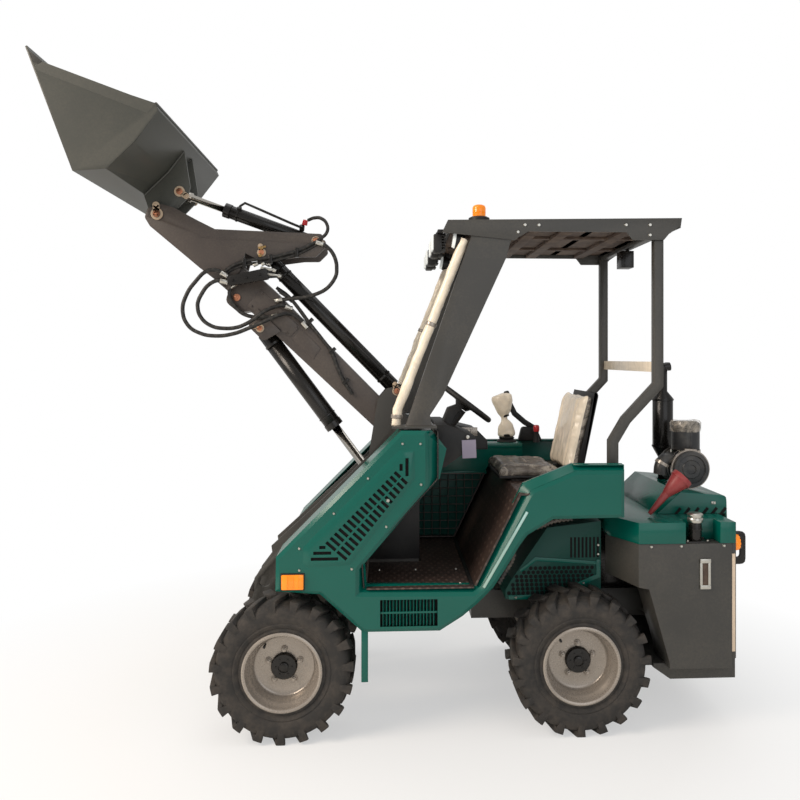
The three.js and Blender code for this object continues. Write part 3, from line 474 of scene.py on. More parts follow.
def slab(x0, x1, y0, y1, z0, z1, round_edges=1.5):
    """A cube scaled to lie between two corners in millimetres, with its edges rounded."""
    (x0, y0, z0), (x1, y1, z1) = at(x0, y0, z0), at(x1, y1, z1)
    deselect()
    bpy.ops.mesh.primitive_cube_add(size=1, location=((x0 + x1) / 2, (y0 + y1) / 2, (z0 + z1) / 2))
    made = bpy.context.object
    made.scale = (abs(x1 - x0), abs(y1 - y0), abs(z1 - z0))
    placed(made)
    return softened(made, round_edges * MM) if round_edges else made


def rod(start, end, radius, sides=24, far_radius=None, round_edges=1 * MM):
    """A round bar in metres, or a cone when the far end has another radius."""
    start, end = Vector(start), Vector(end)
    deselect()
    bpy.ops.mesh.primitive_cone_add(
        vertices=sides,
        radius1=radius,
        radius2=radius if far_radius is None else far_radius,
        depth=(end - start).length,
        location=(start + end) / 2,
        rotation=(end - start).to_track_quat("Z", "Y").to_euler(),
    )
    made = placed(bpy.context.object)
    return softened(made, round_edges, angle=50) if round_edges else made


def bar(start, end, radius, far_radius=None, sides=20, round_edges=0.8):
    """A rod given in millimetres."""
    far = None if far_radius is None else far_radius * MM
    return rod(at(*start), at(*end), radius * MM, sides, far, round_edges * MM)


def chain(points):
    """Edges drawn corner by corner: one vertex, extruded to each next point."""
    points = [Vector(p) for p in points]
    deselect()
    bpy.ops.mesh.primitive_plane_add(size=1 * MM, location=points[0])
    bpy.ops.object.mode_set(mode="EDIT")
    bpy.ops.mesh.merge(type="CENTER")
    for here, there in zip(points, points[1:]):
        bpy.ops.mesh.extrude_region_move(TRANSFORM_OT_translate={"value": there - here})
    bpy.ops.object.mode_set(mode="OBJECT")
    return placed(bpy.context.object)


def face(points):
    """A flat face drawn round its corners."""
    made = chain(points)
    with edited(made):
        bpy.ops.mesh.edge_face_add()
    return made


def thickened(points, depth, round_edges):
    """A plate: a drawn face extruded by a vector."""
    made = face(points)
    with edited(made):
        bpy.ops.mesh.extrude_region_move(TRANSFORM_OT_translate={"value": Vector(depth)})
    merged(made)
    return softened(made, round_edges) if round_edges else made


def side_plate(points, y0, y1, round_edges=1.5):
    """A plate between two widths whose outline is in side view, in millimetres."""
    corners = [at(x, y0, z) for x, z in rounded(points)]
    return thickened(corners, (0, y1 * MM - y0 * MM, 0), round_edges * MM)


CORNER_STEPS = 4


def rounded(points):
    """Corners as [a, b], where a third value rounds that corner to its radius."""
    out = []
    for i, (a, b, *radius) in enumerate(points):
        if not radius:
            out.append((a, b))
            continue
        corner = Vector((a, b))
        before = Vector(points[i - 1][:2]) - corner
        after = Vector(points[(i + 1) % len(points)][:2]) - corner
        half_angle = before.angle(after) / 2
        reach = radius[0] / max(0.05, sin(half_angle)) * cos(half_angle)
        start = corner + before.normalized() * reach
        end = corner + after.normalized() * reach
        for k in range(CORNER_STEPS + 1):
            t = k / CORNER_STEPS
            out.append(tuple(start * (1 - t) ** 2 + corner * 2 * t * (1 - t) + end * t * t))
    return out


def turned(profile, place, axis, steps=48):
    """A profile of (radius, height) in millimetres spun about a line through a place in metres."""
    axis = Vector(axis).normalized()
    out = axis.orthogonal().normalized()
    made = chain([Vector(place) + out * (r * MM) + axis * (h * MM) for r, h in profile])
    with edited(made):
        bpy.ops.mesh.spin(steps=steps, angle=2 * pi, center=place, axis=axis)
    return merged(made)


def hoop(inner, outer, low, high, place, axis, steps):
    """A ring of square section between two radii and two heights, in millimetres."""
    corners = [(inner, low), (outer, low), (outer, high), (inner, high), (inner, low)]
    return turned(corners, place, axis, steps)


def curved(points, radius=0.0, sides=12, smooth=True):
    """A mesh along points in metres: a round tube, or a bare line when it has no radius."""
    line = bpy.data.curves.new("tube", "CURVE")
    line.dimensions = "3D"
    line.bevel_depth = radius
    line.bevel_resolution = max(0, sides // 4 - 1)
    line.use_fill_caps = True
    line.resolution_u = 6 if smooth else 1
    spline = line.splines.new("BEZIER" if smooth else "POLY")
    stops = spline.bezier_points if smooth else spline.points
    stops.add(len(points) - 1)
    for stop, p in zip(stops, points):
        if smooth:
            stop.co = p
            stop.handle_left_type = stop.handle_right_type = "AUTO"
        else:
            stop.co = (*p, 1)
    made = bpy.data.objects.new("tube", line)
    bpy.context.scene.collection.objects.link(made)
    pick(made)
    bpy.ops.object.convert(target="MESH")
    return bpy.context.object


def tube(points, radius, sides=12, smooth=True):
    """A round tube along points in millimetres."""
    return merged(curved([at(*p) for p in points], radius * MM, sides, smooth))


def beam(start, end, width, height, up=UP, round_edges=1.5):
    """A flat bar between two places in millimetres: width is across `up`, height is along it."""
    along = (Vector(end) - Vector(start)).normalized()
    across = along.cross(Vector(up)).normalized()
    lift = across.cross(along)
    corners = [
        Vector(start) + across * (i * width / 2) + lift * (j * height / 2)
        for i, j in ((-1, -1), (1, -1), (1, 1), (-1, 1))
    ]
    return thickened([at(*c) for c in corners], (Vector(end) - Vector(start)) * MM, round_edges * MM)


def strip(points, y0, y1):
    """A folded edge: a line in side view drawn out sideways as sheet, in millimetres."""
    made = chain([at(x, y0, z) for x, z in points])
    with edited(made):
        bpy.ops.mesh.extrude_region_move(TRANSFORM_OT_translate={"value": (0, (y1 - y0) * MM, 0)})
    merged(made)
    return modified(made, "SOLIDIFY", thickness=SHEET, offset=0, use_even_offset=True)


def sloping_flange(points, y0, far_points, y1):
    """A sheet that slopes from one line in side view to another, in millimetres."""
    made = joined(*(chain([at(x, y, z) for x, z in row]) for row, y in ((points, y0), (far_points, y1))))
    with edited(made):
        bpy.ops.mesh.bridge_edge_loops()
    merged(made)
    return modified(made, "SOLIDIFY", thickness=SHEET, offset=0, use_even_offset=True)


def pressed_sheet(points, y, fold, drop, thickness, side):
    """A sheet with its rim folded back all round: its face is at y and its rim lies nearer the middle."""
    made = face([at(a, side * (y - drop), b) for a, b in rounded(points)])
    with edited(made):
        bpy.ops.mesh.inset(thickness=fold * MM, depth=0)
        bpy.ops.transform.translate(value=(0, side * drop * MM, 0))
        bpy.ops.mesh.select_all(action="SELECT")
        bpy.ops.mesh.extrude_region_move(TRANSFORM_OT_translate={"value": (0, -side * thickness * MM, 0)})
    return merged(made)


def ribbon(stops, width):
    """The outline of a bar of even width bent through stops, in side view."""
    stops = [Vector(s) for s in stops]
    edges = [(b - a).normalized() for a, b in zip(stops, stops[1:])]
    left, right = [], []
    for i, stop in enumerate(stops):
        before, after = edges[max(0, i - 1)], edges[min(i, len(edges) - 1)]
        along = (before + after).normalized()
        across = Vector((-along.y, along.x)) * (width / 2 / max(0.3, along.dot(before)))
        left.append(tuple(stop + across))
        right.append(tuple(stop - across))
    return left + right[::-1]


def crumpled(obj, amount, size, seed=0.0):
    """Moves the surface in and out by a smooth noise, as thin film or cloth lies."""
    normals = [v.normal.copy() for v in obj.data.vertices]
    for v, out in zip(obj.data.vertices, normals):
        wave = noise.noise(v.co / (size * MM) + Vector((seed, 0, 0)))
        fold = abs(noise.noise(v.co * (0.4 / (size * MM)) + Vector((0, seed, 3.1))))
        v.co += out * (amount * MM) * (0.6 * wave + fold)
    return obj


def cut_out(obj, cutter):
    """Cuts one mesh out of another, then removes the cutter."""
    modified(obj, "BOOLEAN", operation="DIFFERENCE", object=cutter, solver="EXACT")
    bpy.data.objects.remove(cutter)
    return obj


def scatter(pattern, places):
    """Copies of a small piece at many places, joined as one mesh. The pattern sits at the origin."""
    copies = [copied(pattern, offset=p) for p in places]
    bpy.data.objects.remove(pattern)
    return joined(*copies)


def heads(places, y, radius=6, height=4, sides=10):
    """Round screw heads on an upright face, at (x, z) places in millimetres."""
    head = bar((0, 0, 0), (0, height, 0), radius, radius * 0.7, sides, 0)
    return scatter(head, [at(x, y, z) for x, z in places])


def ready(obj, name, body, finish, replaces=(), smooth=40):
    """Names a finished piece, gives it its finish and lets it ride on a body of the frame."""
    obj.name = name
    obj.data.name = name
    placed(obj)
    obj.data.materials.append(FINISHES[finish])
    pick(obj)
    bpy.ops.object.shade_smooth_by_angle(angle=radians(smooth))
    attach(obj, body)
    if replaces:
        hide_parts(*replaces)
    return obj


def both_sides(pattern, name, body, finish, replaces=(), smooth=40):
    """Keeps a piece made for the left and gives the machine's right its mirror image."""
    right = copied(pattern, mirror_y=True)
    for made, hand in ((pattern, "left"), (right, "right")):
        stands_for = [n.format(hand=hand) for n in replaces]
        ready(made, f"{hand}_{name}", body, finish, stands_for, smooth)


# ---- Camera, light and floor -------------------------------------------------------------
CAMERA_PLACE = (0.061, 3.706, 1.566)
CAMERA_HEADING = radians(3.2)  # turned towards the machine's rear from straight across it
LENS = 35.1
CAMERA_SHIFT = (-0.0395, -0.0525)
FLOOR_SIZE = 30.0


class LOADER_OT_camera(bpy.types.Operator):
    """Adds the camera, level, on the machine's left"""

    bl_idname = "loader.camera"
    bl_label = "Camera"

    def execute(self, context):
        deselect()
        looking = Vector((-sin(CAMERA_HEADING), -cos(CAMERA_HEADING), 0))
        bpy.ops.object.camera_add(location=CAMERA_PLACE, rotation=looking.to_track_quat("-Z", "Y").to_euler())
        camera = context.object
        camera.data.lens = LENS
        camera.data.shift_x, camera.data.shift_y = CAMERA_SHIFT
        context.scene.camera = camera
        return {"FINISHED"}


class LOADER_OT_stage(bpy.types.Operator):
    """Adds the pale floor, the white surround and soft lamps"""

    bl_idname = "loader.stage"
    bl_label = "Stage"

    def execute(self, context):
        context.scene.view_settings.view_transform = "Standard"
        self.surround(context)
        self.floor()
        # A broad soft key ahead of the machine, a weak fill on its left and a lamp overhead.
        self.lamp("key", (4.6, 2.6, 4.2), size=2.6, power=260, colour=linear("#fff0e0"))
        self.lamp("fill", (-2.2, 5.2, 2.6), size=4.0, power=45, colour=linear("#f4f8ff"))
        self.lamp("top", (-0.5, -0.5, 5.6), size=4.0, power=60, colour=linear("#ffffff"))
        return {"FINISHED"}

    def surround(self, context):
        """Plain white where the camera looks past the machine, and a dimmer light on the machine itself."""
        world = bpy.data.worlds.new("surround")
        context.scene.world = world
        world.use_nodes = True
        tree = world.node_tree
        tree.nodes.clear()
        path = node(tree, "ShaderNodeLightPath")
        rays = {0: path.outputs["Is Camera Ray"], 1: path.outputs["Is Transmission Ray"]}
        seen = node(tree, "ShaderNodeMath", {"operation": "MAXIMUM"}, rays)
        light = node(tree, "ShaderNodeBackground", {"Color": WHITE, "Strength": 0.55})
        white = node(tree, "ShaderNodeBackground", {"Color": WHITE, "Strength": 1.0})
        both = {0: seen.outputs[0], 1: light.outputs[0], 2: white.outputs[0]}
        mixed = node(tree, "ShaderNodeMixShader", {}, both)
        node(tree, "ShaderNodeOutputWorld", {}, {"Surface": mixed.outputs[0]})

    def floor(self):
        """A matt floor that fades to plain white away from the machine."""
        deselect()
        bpy.ops.mesh.primitive_plane_add(size=FLOOR_SIZE, location=(0, 0, 0))
        floor = bpy.context.object
        floor.name = "floor"
        tree, surface, place = new_material("pale floor")
        surface.inputs["Base Color"].default_value = tint(linear("#f2f1ee"))
        surface.inputs["Roughness"].default_value = 0.9
        surface.inputs["Specular IOR Level"].default_value = 0.2
        distance = node(tree, "ShaderNodeVectorMath", {"operation": "LENGTH"}, place)
        reach = {"From Min": 1.3, "From Max": 2.6, "To Min": 0.5}
        fade = node(tree, "ShaderNodeMapRange", reach, {"Value": distance.outputs["Value"]})
        seen = node(tree, "ShaderNodeLightPath").outputs["Is Camera Ray"]
        far = node(tree, "ShaderNodeMath", {"operation": "MULTIPLY"}, {0: fade.outputs[0], 1: seen})
        white = node(tree, "ShaderNodeEmission", {"Color": WHITE, "Strength": 1.0})
        both = {0: far.outputs[0], 1: surface.outputs[0], 2: white.outputs[0]}
        mixed = node(tree, "ShaderNodeMixShader", {}, both)
        tree.links.new(mixed.outputs[0], tree.nodes["Material Output"].inputs["Surface"])
        floor.data.materials.append(FINISHES["pale floor"])

    def lamp(self, name, place, size, power, colour):
        deselect()
        aim = Vector(UP) - Vector(place)
        facing = aim.to_track_quat("-Z", "Y").to_euler()
        bpy.ops.object.light_add(type="AREA", location=place, rotation=facing)
        lamp = bpy.context.object
        lamp.name = name
        lamp.data.size = size
        lamp.data.energy = power
        lamp.data.color = colour


# ---- The frame's own pieces --------------------------------------------------------------
# Finish and edge rounding in millimetres of every node that stays in view.
KEPT_NODES = {
    "green enamel": (1.5, "side_console deck hood"),
    "dulled green enamel": (1.5, "engine_enclosure"),
    "charcoal enamel": (2.0, "front_chassis canopy_roof canopy_left_pillar canopy_right_pillar "
                             "rear_chassis hydraulic_tank fuel_tank rear_grille counterweight"),
    "arm enamel": (3.0, "boom_beam boom_head"),
    "bucket enamel": (2.0, "bucket bucket_bracket"),
    "black ABS": (1.5, "dash_console"),
    "black enamel": (1.5, "front_axle rear_axle foot_bulkhead coupler_block "
                          "lift_cylinder_barrel level_cylinder_barrel tilt_cylinder_barrel left_tail_guard "
                          "right_tail_guard muffler rear_light engine_block"),
    "hard chrome": (1.0, "lift_cylinder_rod level_cylinder_rod tilt_cylinder_rod"),
    "painted tread plate": (1.0, "floor_pan seat_box"),
    "filter housing plastic": (2.0, "air_cleaner"),
}


class LOADER_OT_frame_finishes(bpy.types.Operator):
    """Makes the finishes and gives them to the frame's nodes, with their sharp edges rounded"""

    bl_idname = "loader.frame_finishes"
    bl_label = "Frame finishes"

    def execute(self, context):
        for finish, (edge, names) in KEPT_NODES.items():
            for name in names.split():
                self.dress(frame["nodes"][name], finish, edge * MM)
        return {"FINISHED"}

    def dress(self, obj, finish, edge):
        """Rounds the edges of all but the drums, whose narrow faces a bevel would crease."""
        obj.data.materials.clear()
        obj.data.materials.append(FINISHES[finish])
        weld = obj.modifiers.new("weld", "WELD")
        weld.merge_threshold = 0.01 * MM
        if edge and "cylinder" not in obj.name and obj.name != "muffler":
            bevel = obj.modifiers.new("edges", "BEVEL")
            bevel.width = edge
            bevel.segments = 2
            bevel.limit_method = "ANGLE"
            bevel.angle_limit = radians(38)
        pick(obj)
        bpy.ops.object.shade_smooth_by_angle(angle=radians(40))


# ---- Wheels ------------------------------------------------------------------------------
WHEELS = {
    f"{end}_{hand}": (x, side)
    for end, x in (("front", FRONT_AXLE_X), ("rear", REAR_AXLE_X))
    for hand, side in (("left", LEFT), ("right", RIGHT))
}
TREAD_WIDTH = 106  # half of the tyre's tread, in millimetres
RIM_BORE = 153
# The tyre's skin from its bead to its crown, as radius and distance from the wheel's middle.
CARCASS = [(RIM_BORE, 62), (RIM_BORE, 90), (160, 97), (171, 97), (177, 93), (184, 99), (194, 103),
           (200, 101), (206, 105), (228, 108), (246, 107), (260, 102), (269, 93), (273, 82)]
# The rim's section, from its disc out over the inner flange and back by the outer one.
RIM_SECTION = [(0, 9), (114, 9), (123, 3), (126, -18), (145, -60), (146, -95), (150, -104), (157, -107),
               (163, -104), (163, -99), (157, -97), (152, -88), (152, -62), (134, -20), (135, 54),
               (151, 70), (152, 88), (157, 97), (163, 99), (163, 104), (157, 107), (150, 104), (146, 95),
               (144, 80), (137, 73), (134, 60), (131, 54), (129, 28), (125, 20), (117, 16), (80, 16),
               (60, 18), (0, 18)]
# A lug's outline on the crown unrolled, and its cuts across, so that it bends with the crown.
LUG_TOP = [(-16, -7), (10, -7), (26, 12), (40, 42), (52, 70), (60, TREAD_WIDTH - 6), (22, TREAD_WIDTH - 4),
           (8, 62), (-4, 34)]
LUG_CUTS = (-4, 12, 26, 38, 48)
LUG_ROOT = 6  # how deep a lug stands in the carcass
SHOULDER_X = ((23, 59), (29, 57))  # where a lug's shoulder starts and ends, at its top and at its foot
SHOULDER_FOOT = -34
HUB_SECTION = [(0, 12), (54, 12), (54, 34), (50, 39), (24, 41), (24, 37), (18, 37), (18, 45), (15, 47),
               (0, 47)]
HUB_SCREWS, HUB_SCREW_CIRCLE = 6, 34
NUT_CIRCLE = 68
VALVE = (78, 88)
WHEEL_MIDDLE = (0, 0, 0)


class LOADER_OT_wheels(bpy.types.Operator):
    """Builds the four tyres with their lugs, and the rims with their hubs and nuts"""

    bl_idname = "loader.wheels"
    bl_label = "Wheels"

    def execute(self, context):
        sizes = context.scene.loader_sizes
        patterns = {
            "tyre": (self.tyre(sizes), "tyre rubber", "tyre_rubber"),
            "rim": (turned(RIM_SECTION, WHEEL_MIDDLE, ACROSS, 72), "rim silver paint", "rim_silver"),
            "hub": (self.hub(), "black enamel", "black_paint"),
            "wheel_nuts": (self.nuts(sizes.nut_count), "rim silver paint", "rim_silver"),
            "valve": (self.valve(), "black ABS", "black_plastic"),
        }
        for wheel, (x, side) in WHEELS.items():
            for piece, (pattern, finish, slot) in patterns.items():
                made = copied(pattern, mirror_y=side == RIGHT)
                made.data.transform(Matrix.Translation((x, side * WHEEL_Y, AXLE_Z)))
                stands_for = (f"{wheel}_{piece}",) if piece in ("tyre", "rim") else ()
                name = f"{wheel}_{piece}" + ("_detail" if stands_for else "")
                ready(made, name, f"{wheel}_wheel", finish, stands_for)
        for pattern, _, _ in patterns.values():
            bpy.data.objects.remove(pattern)
        return {"FINISHED"}

    def tyre(self, sizes):
        crown = TYRE_RADIUS / MM - sizes.lug_height / MM
        half = [*CARCASS, (crown, 60), (crown + 1, 30), (crown + 1, 0)]
        section = [*half, *((r, -h) for r, h in reversed(half[:-1])), half[0]]
        carcass = turned(section, WHEEL_MIDDLE, ACROSS, 72)
        return joined(carcass, self.lugs(sizes, crown * MM))

    def lugs(self, sizes, crown):
        """The lugs are modelled on a flat strip of tread, then wrapped round the crown."""
        lug = joined(self.lug_block(sizes.lug_height), self.lug_shoulder(sizes.lug_height / MM - 1))
        with edited(lug):
            for x in LUG_CUTS:
                bpy.ops.mesh.select_all(action="SELECT")
                bpy.ops.mesh.bisect(plane_co=(x * MM, 0, 0), plane_no=(1, 0, 0))
        softened(merged(lug), 2.5 * MM, 2, 50)
        pitch = 2 * pi * crown / sizes.lug_count
        other = copied(lug, mirror_y=True)
        other.data.transform(Matrix.Translation((pitch / 2, 0, 0)))
        tread = in_a_row(joined(lug, other), sizes.lug_count, pitch)
        for v in tread.data.vertices:
            angle = v.co.x / crown
            radius = crown + v.co.z
            v.co = (radius * sin(angle), v.co.y, radius * cos(angle))
        return tread

    def lug_block(self, height):
        return thickened([at(x, y, -LUG_ROOT) for x, y in LUG_TOP], (0, 0, height + LUG_ROOT * MM), 0)

    def lug_shoulder(self, top):
        """The part of a lug that runs down the tyre's side."""
        (top_start, top_end), (foot_start, foot_end) = SHOULDER_X
        corners = [(top_start, top), (top_end, top), (foot_end, SHOULDER_FOOT), (foot_start, SHOULDER_FOOT)]
        return thickened([at(x, TREAD_WIDTH - 12, z) for x, z in corners], (0, 14 * MM, 0), 0)

    def hub(self):
        screws = []
        for i in range(HUB_SCREWS):
            x, z = on_circle(HUB_SCREW_CIRCLE, 360 * i / HUB_SCREWS)
            screws.append(bar((x, 36, z), (x, 44, z), 4, None, 6, 1))
        return joined(turned(HUB_SECTION, WHEEL_MIDDLE, ACROSS, 40), *screws)

    def nuts(self, count):
        """Each nut sits on a coned washer, with its stud standing out of it."""
        made = []
        for i in range(count):
            x, z = on_circle(NUT_CIRCLE, 90 + i * 360 / count)
            made.append(bar((x, 15, z), (x, 21, z), 15, 12, 24, 1))
            made.append(bar((x, 19, z), (x, 33, z), 10.5, None, 6, 1))
            made.append(bar((x, 30, z), (x, 40, z), 6, None, 16, 1))
        return joined(*made)

    def valve(self):
        x, z = VALVE
        stem = bar((x, 12, z), (x, 44, z), 4, None, 12, 1)
        return joined(stem, bar((x, 40, z), (x, 56, z), 5.5, None, 12, 1))


def on_circle(radius, angle):
    """A point on a circle round the origin, at an angle in degrees."""
    return radius * cos(radians(angle)), radius * sin(radians(angle))


# ---- Body panels -------------------------------------------------------------------------
ARCH = [(-918, 904), (-620, 901), (-512, 836), (-478, 790), (-425, 705), (-370, 622), (-306, 559),
        (-245, 508), (-151, 450), (162, 450), (336, 607), (516, 622), (514, 761), (8, 1269)]
ENTRY = [(-118, 1268), (-180, 1190), (-151, 1068), (158, 734), (150, 634), (-292, 628), (-303, 640),
         (-480, 1004), (-501, 1045), (-708, 1125), (-918, 1124)]
# The same opening where the panel's face stops, before the flange that slopes in to the edge above.
ENTRY_FACE = [(-96, 1268), (-106, 1245), (-106, 1036), (178, 706), (178, 612), (-288, 606), (-322, 632),
              (-512, 1000), (-530, 1022), (-716, 1100), (-918, 1100)]
RIGHT_TOP = [(-118, 1268), (-180, 1190), (-180, 1125), (-918, 1124)]
LID_EDGE = 305  # where the panel's lid ends beside the boom
VENT = [(384, 719), (403, 736), (403, 802), (17, 1190), (-46, 1188), (-48, 1075), (215, 726)]
# The vent's slanted slots: both ends of the first and the last, and where each slot is parted in two.
FIRST_SLOT = (Vector((310, 0, 822)), Vector((228, 0, 751)))
LAST_SLOT = (Vector((34, 0, 1103)), Vector((-16, 0, 1055)))
SLOT_PARTS = ((0.0, 0.46), (0.54, 1.0))
FOOT_SLOTS = ((262, 372, 754), (290, 362, 778), (313, 338, 801))  # level ones below: start, end and height
TOP_SLOTS = ((-16, 1086, 1159), (8, 1108, 1136))  # upright ones above: place, foot and head
SLOT_WIDTH = 13
VENT_INSIDE = [(366, 728), (388, 796), (12, 1176), (-38, 1174), (-38, 1080), (220, 738)]
LID_LINE = [(514, 628), (512, 760), (8, 1267), (-118, 1266)]
WHEEL_WELL = [(167, 455), (337, 609), (515, 624)]
REAR_CORNER = [(-706, 1123), (-916, 1122), (-916, 1010)]
FLAP_X = 168  # front face of the flap that hangs behind the front wheel
SILL_SLOT = (-141, 93, 473, 582)
SILL_GAPS = 17
PANEL_BOLTS = [(2, 1217), (-71, 1216), (142, 1077), (280, 936), (419, 796), (419, 708), (208, 710),
               (68, 880), (-74, 1050)]


class LOADER_OT_side_panels(bpy.types.Operator):
    """Builds the folded side panels with their vents, sill louvres, turn lamps, mud flaps and screws"""

    bl_idname = "loader.side_panels"
    bl_label = "Side panels"

    def execute(self, context):
        for side, hand, top in ((LEFT, "left", ENTRY_FACE), (RIGHT, "right", RIGHT_TOP)):
            panel = self.panel(side, top)
            ready(panel, f"{hand}_side_panel_skin", "front_frame", "green enamel",
                  [f"{hand}_side_panel"], 30)
        y = BODY_Y / MM
        slot_count = context.scene.loader_sizes.vent_slots
        both_sides(self.vent(y, slot_count), "vent_grille", "front_frame", "green enamel",
                   ["{hand}_vent_panel"], 30)
        both_sides(self.vent_screen(y), "vent_screen", "front_frame", "matt black inside")
        both_sides(self.louvres(y), "sill_louvres", "front_frame", "green enamel")
        x0, x1, z0, z1 = SILL_SLOT
        both_sides(slab(x0 - 6, x1 + 6, y - 22, y - 20, z0 - 6, z1 + 6, 0), "sill_screen", "front_frame",
                   "matt black inside")
        both_sides(heads(PANEL_BOLTS, y), "panel_screws", "front_frame", "bright zinc")
        both_sides(heads([(61, 988)], y + 8, 9, 6, 20), "vent_catch", "front_frame", "bright zinc")
        both_sides(self.lamp(y), "turn_lamp", "front_frame", "amber lens")
        both_sides(slab(397, 494, y - 1, y + 4, 627, 697, 2), "turn_lamp_base", "front_frame", "black ABS")
        both_sides(self.guard(y), "guard_strip", "front_frame", "polished guard strip")
        return {"FINISHED"}

    def panel(self, side, top):
        """The outer skin with its sill slot, the lid, the folded edges and the flap behind the wheel."""
        y = BODY_Y / MM
        skin = pressed_sheet([*ARCH, *top], y, 15, 11, 3, side)
        x0, x1, z0, z1 = SILL_SLOT
        cut_out(skin, slab(x0, x1, side * (y - 20), side * (y + 10), z0, z1, 0))
        pieces = [
            strip(LID_LINE, side * LID_EDGE, side * (y - 12)),
            strip(WHEEL_WELL, side * LID_EDGE, side * (y - 12)),
            strip(REAR_CORNER, side * (y - 60), side * (y - 12)),
            strip([(x, z + 1.5) for x, z in ARCH[4:10]], side * (y - 34), side * (y - 12)),
            strip([(x, z + 1.5) for x, z in ARCH[:2]], side * (y - 40), side * (y - 12)),
            slab(FLAP_X - 26, FLAP_X, side * (y - 14), side * (y - 11), 245, 456, 1),
            strip([(FLAP_X, 246), (FLAP_X, 458)], side * (LID_EDGE + 20), side * (y - 11)),
        ]
        if side == LEFT:
            pieces.append(sloping_flange(ENTRY_FACE, y - 11, ENTRY, y - 46))
            pieces.append(strip(ENTRY[:10], y - 62, y - 46))
        else:
            pieces.append(strip(top, side * (y - 44), side * (y - 12)))
        return joined(skin, *pieces)

    def vent(self, y, slot_count):
        ends = [(Vector((x0, 0, z)), Vector((x1, 0, z))) for x0, x1, z in FOOT_SLOTS]
        ends += [(Vector((x, 0, z0)), Vector((x, 0, z1))) for x, z0, z1 in TOP_SLOTS]
        slanted = []
        for i in range(slot_count):
            t = i / (slot_count - 1)
            high, low = (a.lerp(b, t) for a, b in zip(FIRST_SLOT, LAST_SLOT))
            slanted += [(high.lerp(low, a), high.lerp(low, b)) for a, b in SLOT_PARTS]
        cutters = []
        for a, b in slanted + ends:
            cutters.append(beam((a.x, y + 4, a.z), (b.x, y + 4, b.z), SLOT_WIDTH, 20, ACROSS, 0))
        return cut_out(pressed_sheet(VENT, y + 8, 17, 8, 5, LEFT), joined(*cutters))

    def vent_screen(self, y):
        return side_plate(VENT_INSIDE, y + 0.2, y + 1.2, 0)

    def louvres(self, y):
        x0, x1, z0, z1 = SILL_SLOT
        slats = [slab(x0, x1, y - 16, y - 6, (z0 + z1) / 2 - 4, (z0 + z1) / 2 + 4, 1)]
        for i in range(1, SILL_GAPS):
            x = x0 + (x1 - x0) * i / SILL_GAPS
            slats.append(beam((x, y - 12, z0), (x, y - 12, z1), 2, 13, (0.5, 1, 0), 0))
        return joined(*slats)

    def lamp(self, y):
        lens_block = slab(401, 490, y + 3, y + 14, 632, 692, 4)
        ribs = [slab(x, x + 4, y + 12, y + 16, 636, 688, 1) for x in (420, 442, 464)]
        return joined(lens_block, *ribs)

    def guard(self, y):
        return beam((-510, y - 2, 934), (-330, y - 2, 626), 12, 8, ACROSS)


# ---- Hoses -------------------------------------------------------------------------------
HOSE_RADIUS = 9 * MM
HOSE_ROUTES = {
    "front_outer_hose": [
        (796, 118, 1940), (830, 122, 1962), (876, 128, 1960), (928, 130, 1912), (969, 130, 1851),
        (986, 130, 1780), (963, 130, 1715), (911, 130, 1679), (840, 130, 1666), (759, 130, 1676),
        (690, 128, 1702), (620, 127, 1733), (560, 118, 1760), (510, 84, 1768), (470, 72, 1748),
        (440, 68, 1712),
    ],
    "front_inner_hose": [
        (796, 118, 1912), (826, 122, 1918), (870, 126, 1898), (905, 128, 1850), (916, 128, 1826),
        (920, 128, 1800), (905, 128, 1750), (860, 128, 1712), (800, 128, 1700), (740, 126, 1706),
        (710, 126, 1718), (680, 125, 1735), (626, 124, 1776), (580, 94, 1800), (545, 78, 1808),
        (512, 67, 1796),
    ],
    "rear_loop_hose": [
        (382, 118, 2092), (354, 115, 2085), (334, 112, 2070), (318, 110, 2052), (300, 108, 2012),
        (296, 106, 1970), (298, 105, 1950), (306, 104, 1930), (332, 100, 1895), (350, 97, 1880),
        (372, 94, 1868), (425, 88, 1850), (452, 84, 1845), (480, 80, 1842), (530, 73, 1838),
        (572, 68, 1832),
    ],
}


class LOADER_OT_hoses(bpy.types.Operator):
    """Builds the free hydraulic hoses at the boom's head, with a crimped ferrule at each end"""

    bl_idname = "loader.hoses"
    bl_label = "Free hoses"

    def execute(self, context):
        make_finishes()
        for name, route in {**HOSE_ROUTES, "nose_loop_hose": NOSE_LOOP}.items():
            points = [Vector(at(*p)) for p in route]
            hose = merged(curved(points, HOSE_RADIUS, 16))
            ferrules = joined(self.ferrule(points[0], points[1]), self.ferrule(points[-1], points[-2]))
            stands_for = [name] if name in HOSE_ROUTES else []
            ready(hose, f"{name}_run", "boom", "braided hose rubber", stands_for, 60)
            ready(ferrules, f"{name}_ferrules", "boom", "bright zinc")
            drawn = curved(points)
            bpy.data.objects.remove(drawn)
        return {"FINISHED"}

    def ferrule(self, end, inside):
        along = (inside - end).normalized()
        sleeve = rod(end - along * 4 * MM, end + along * 26 * MM, 11 * MM, 16)
        return joined(sleeve, rod(end - along * 9 * MM, end - along * 1 * MM, 12.5 * MM, 6))


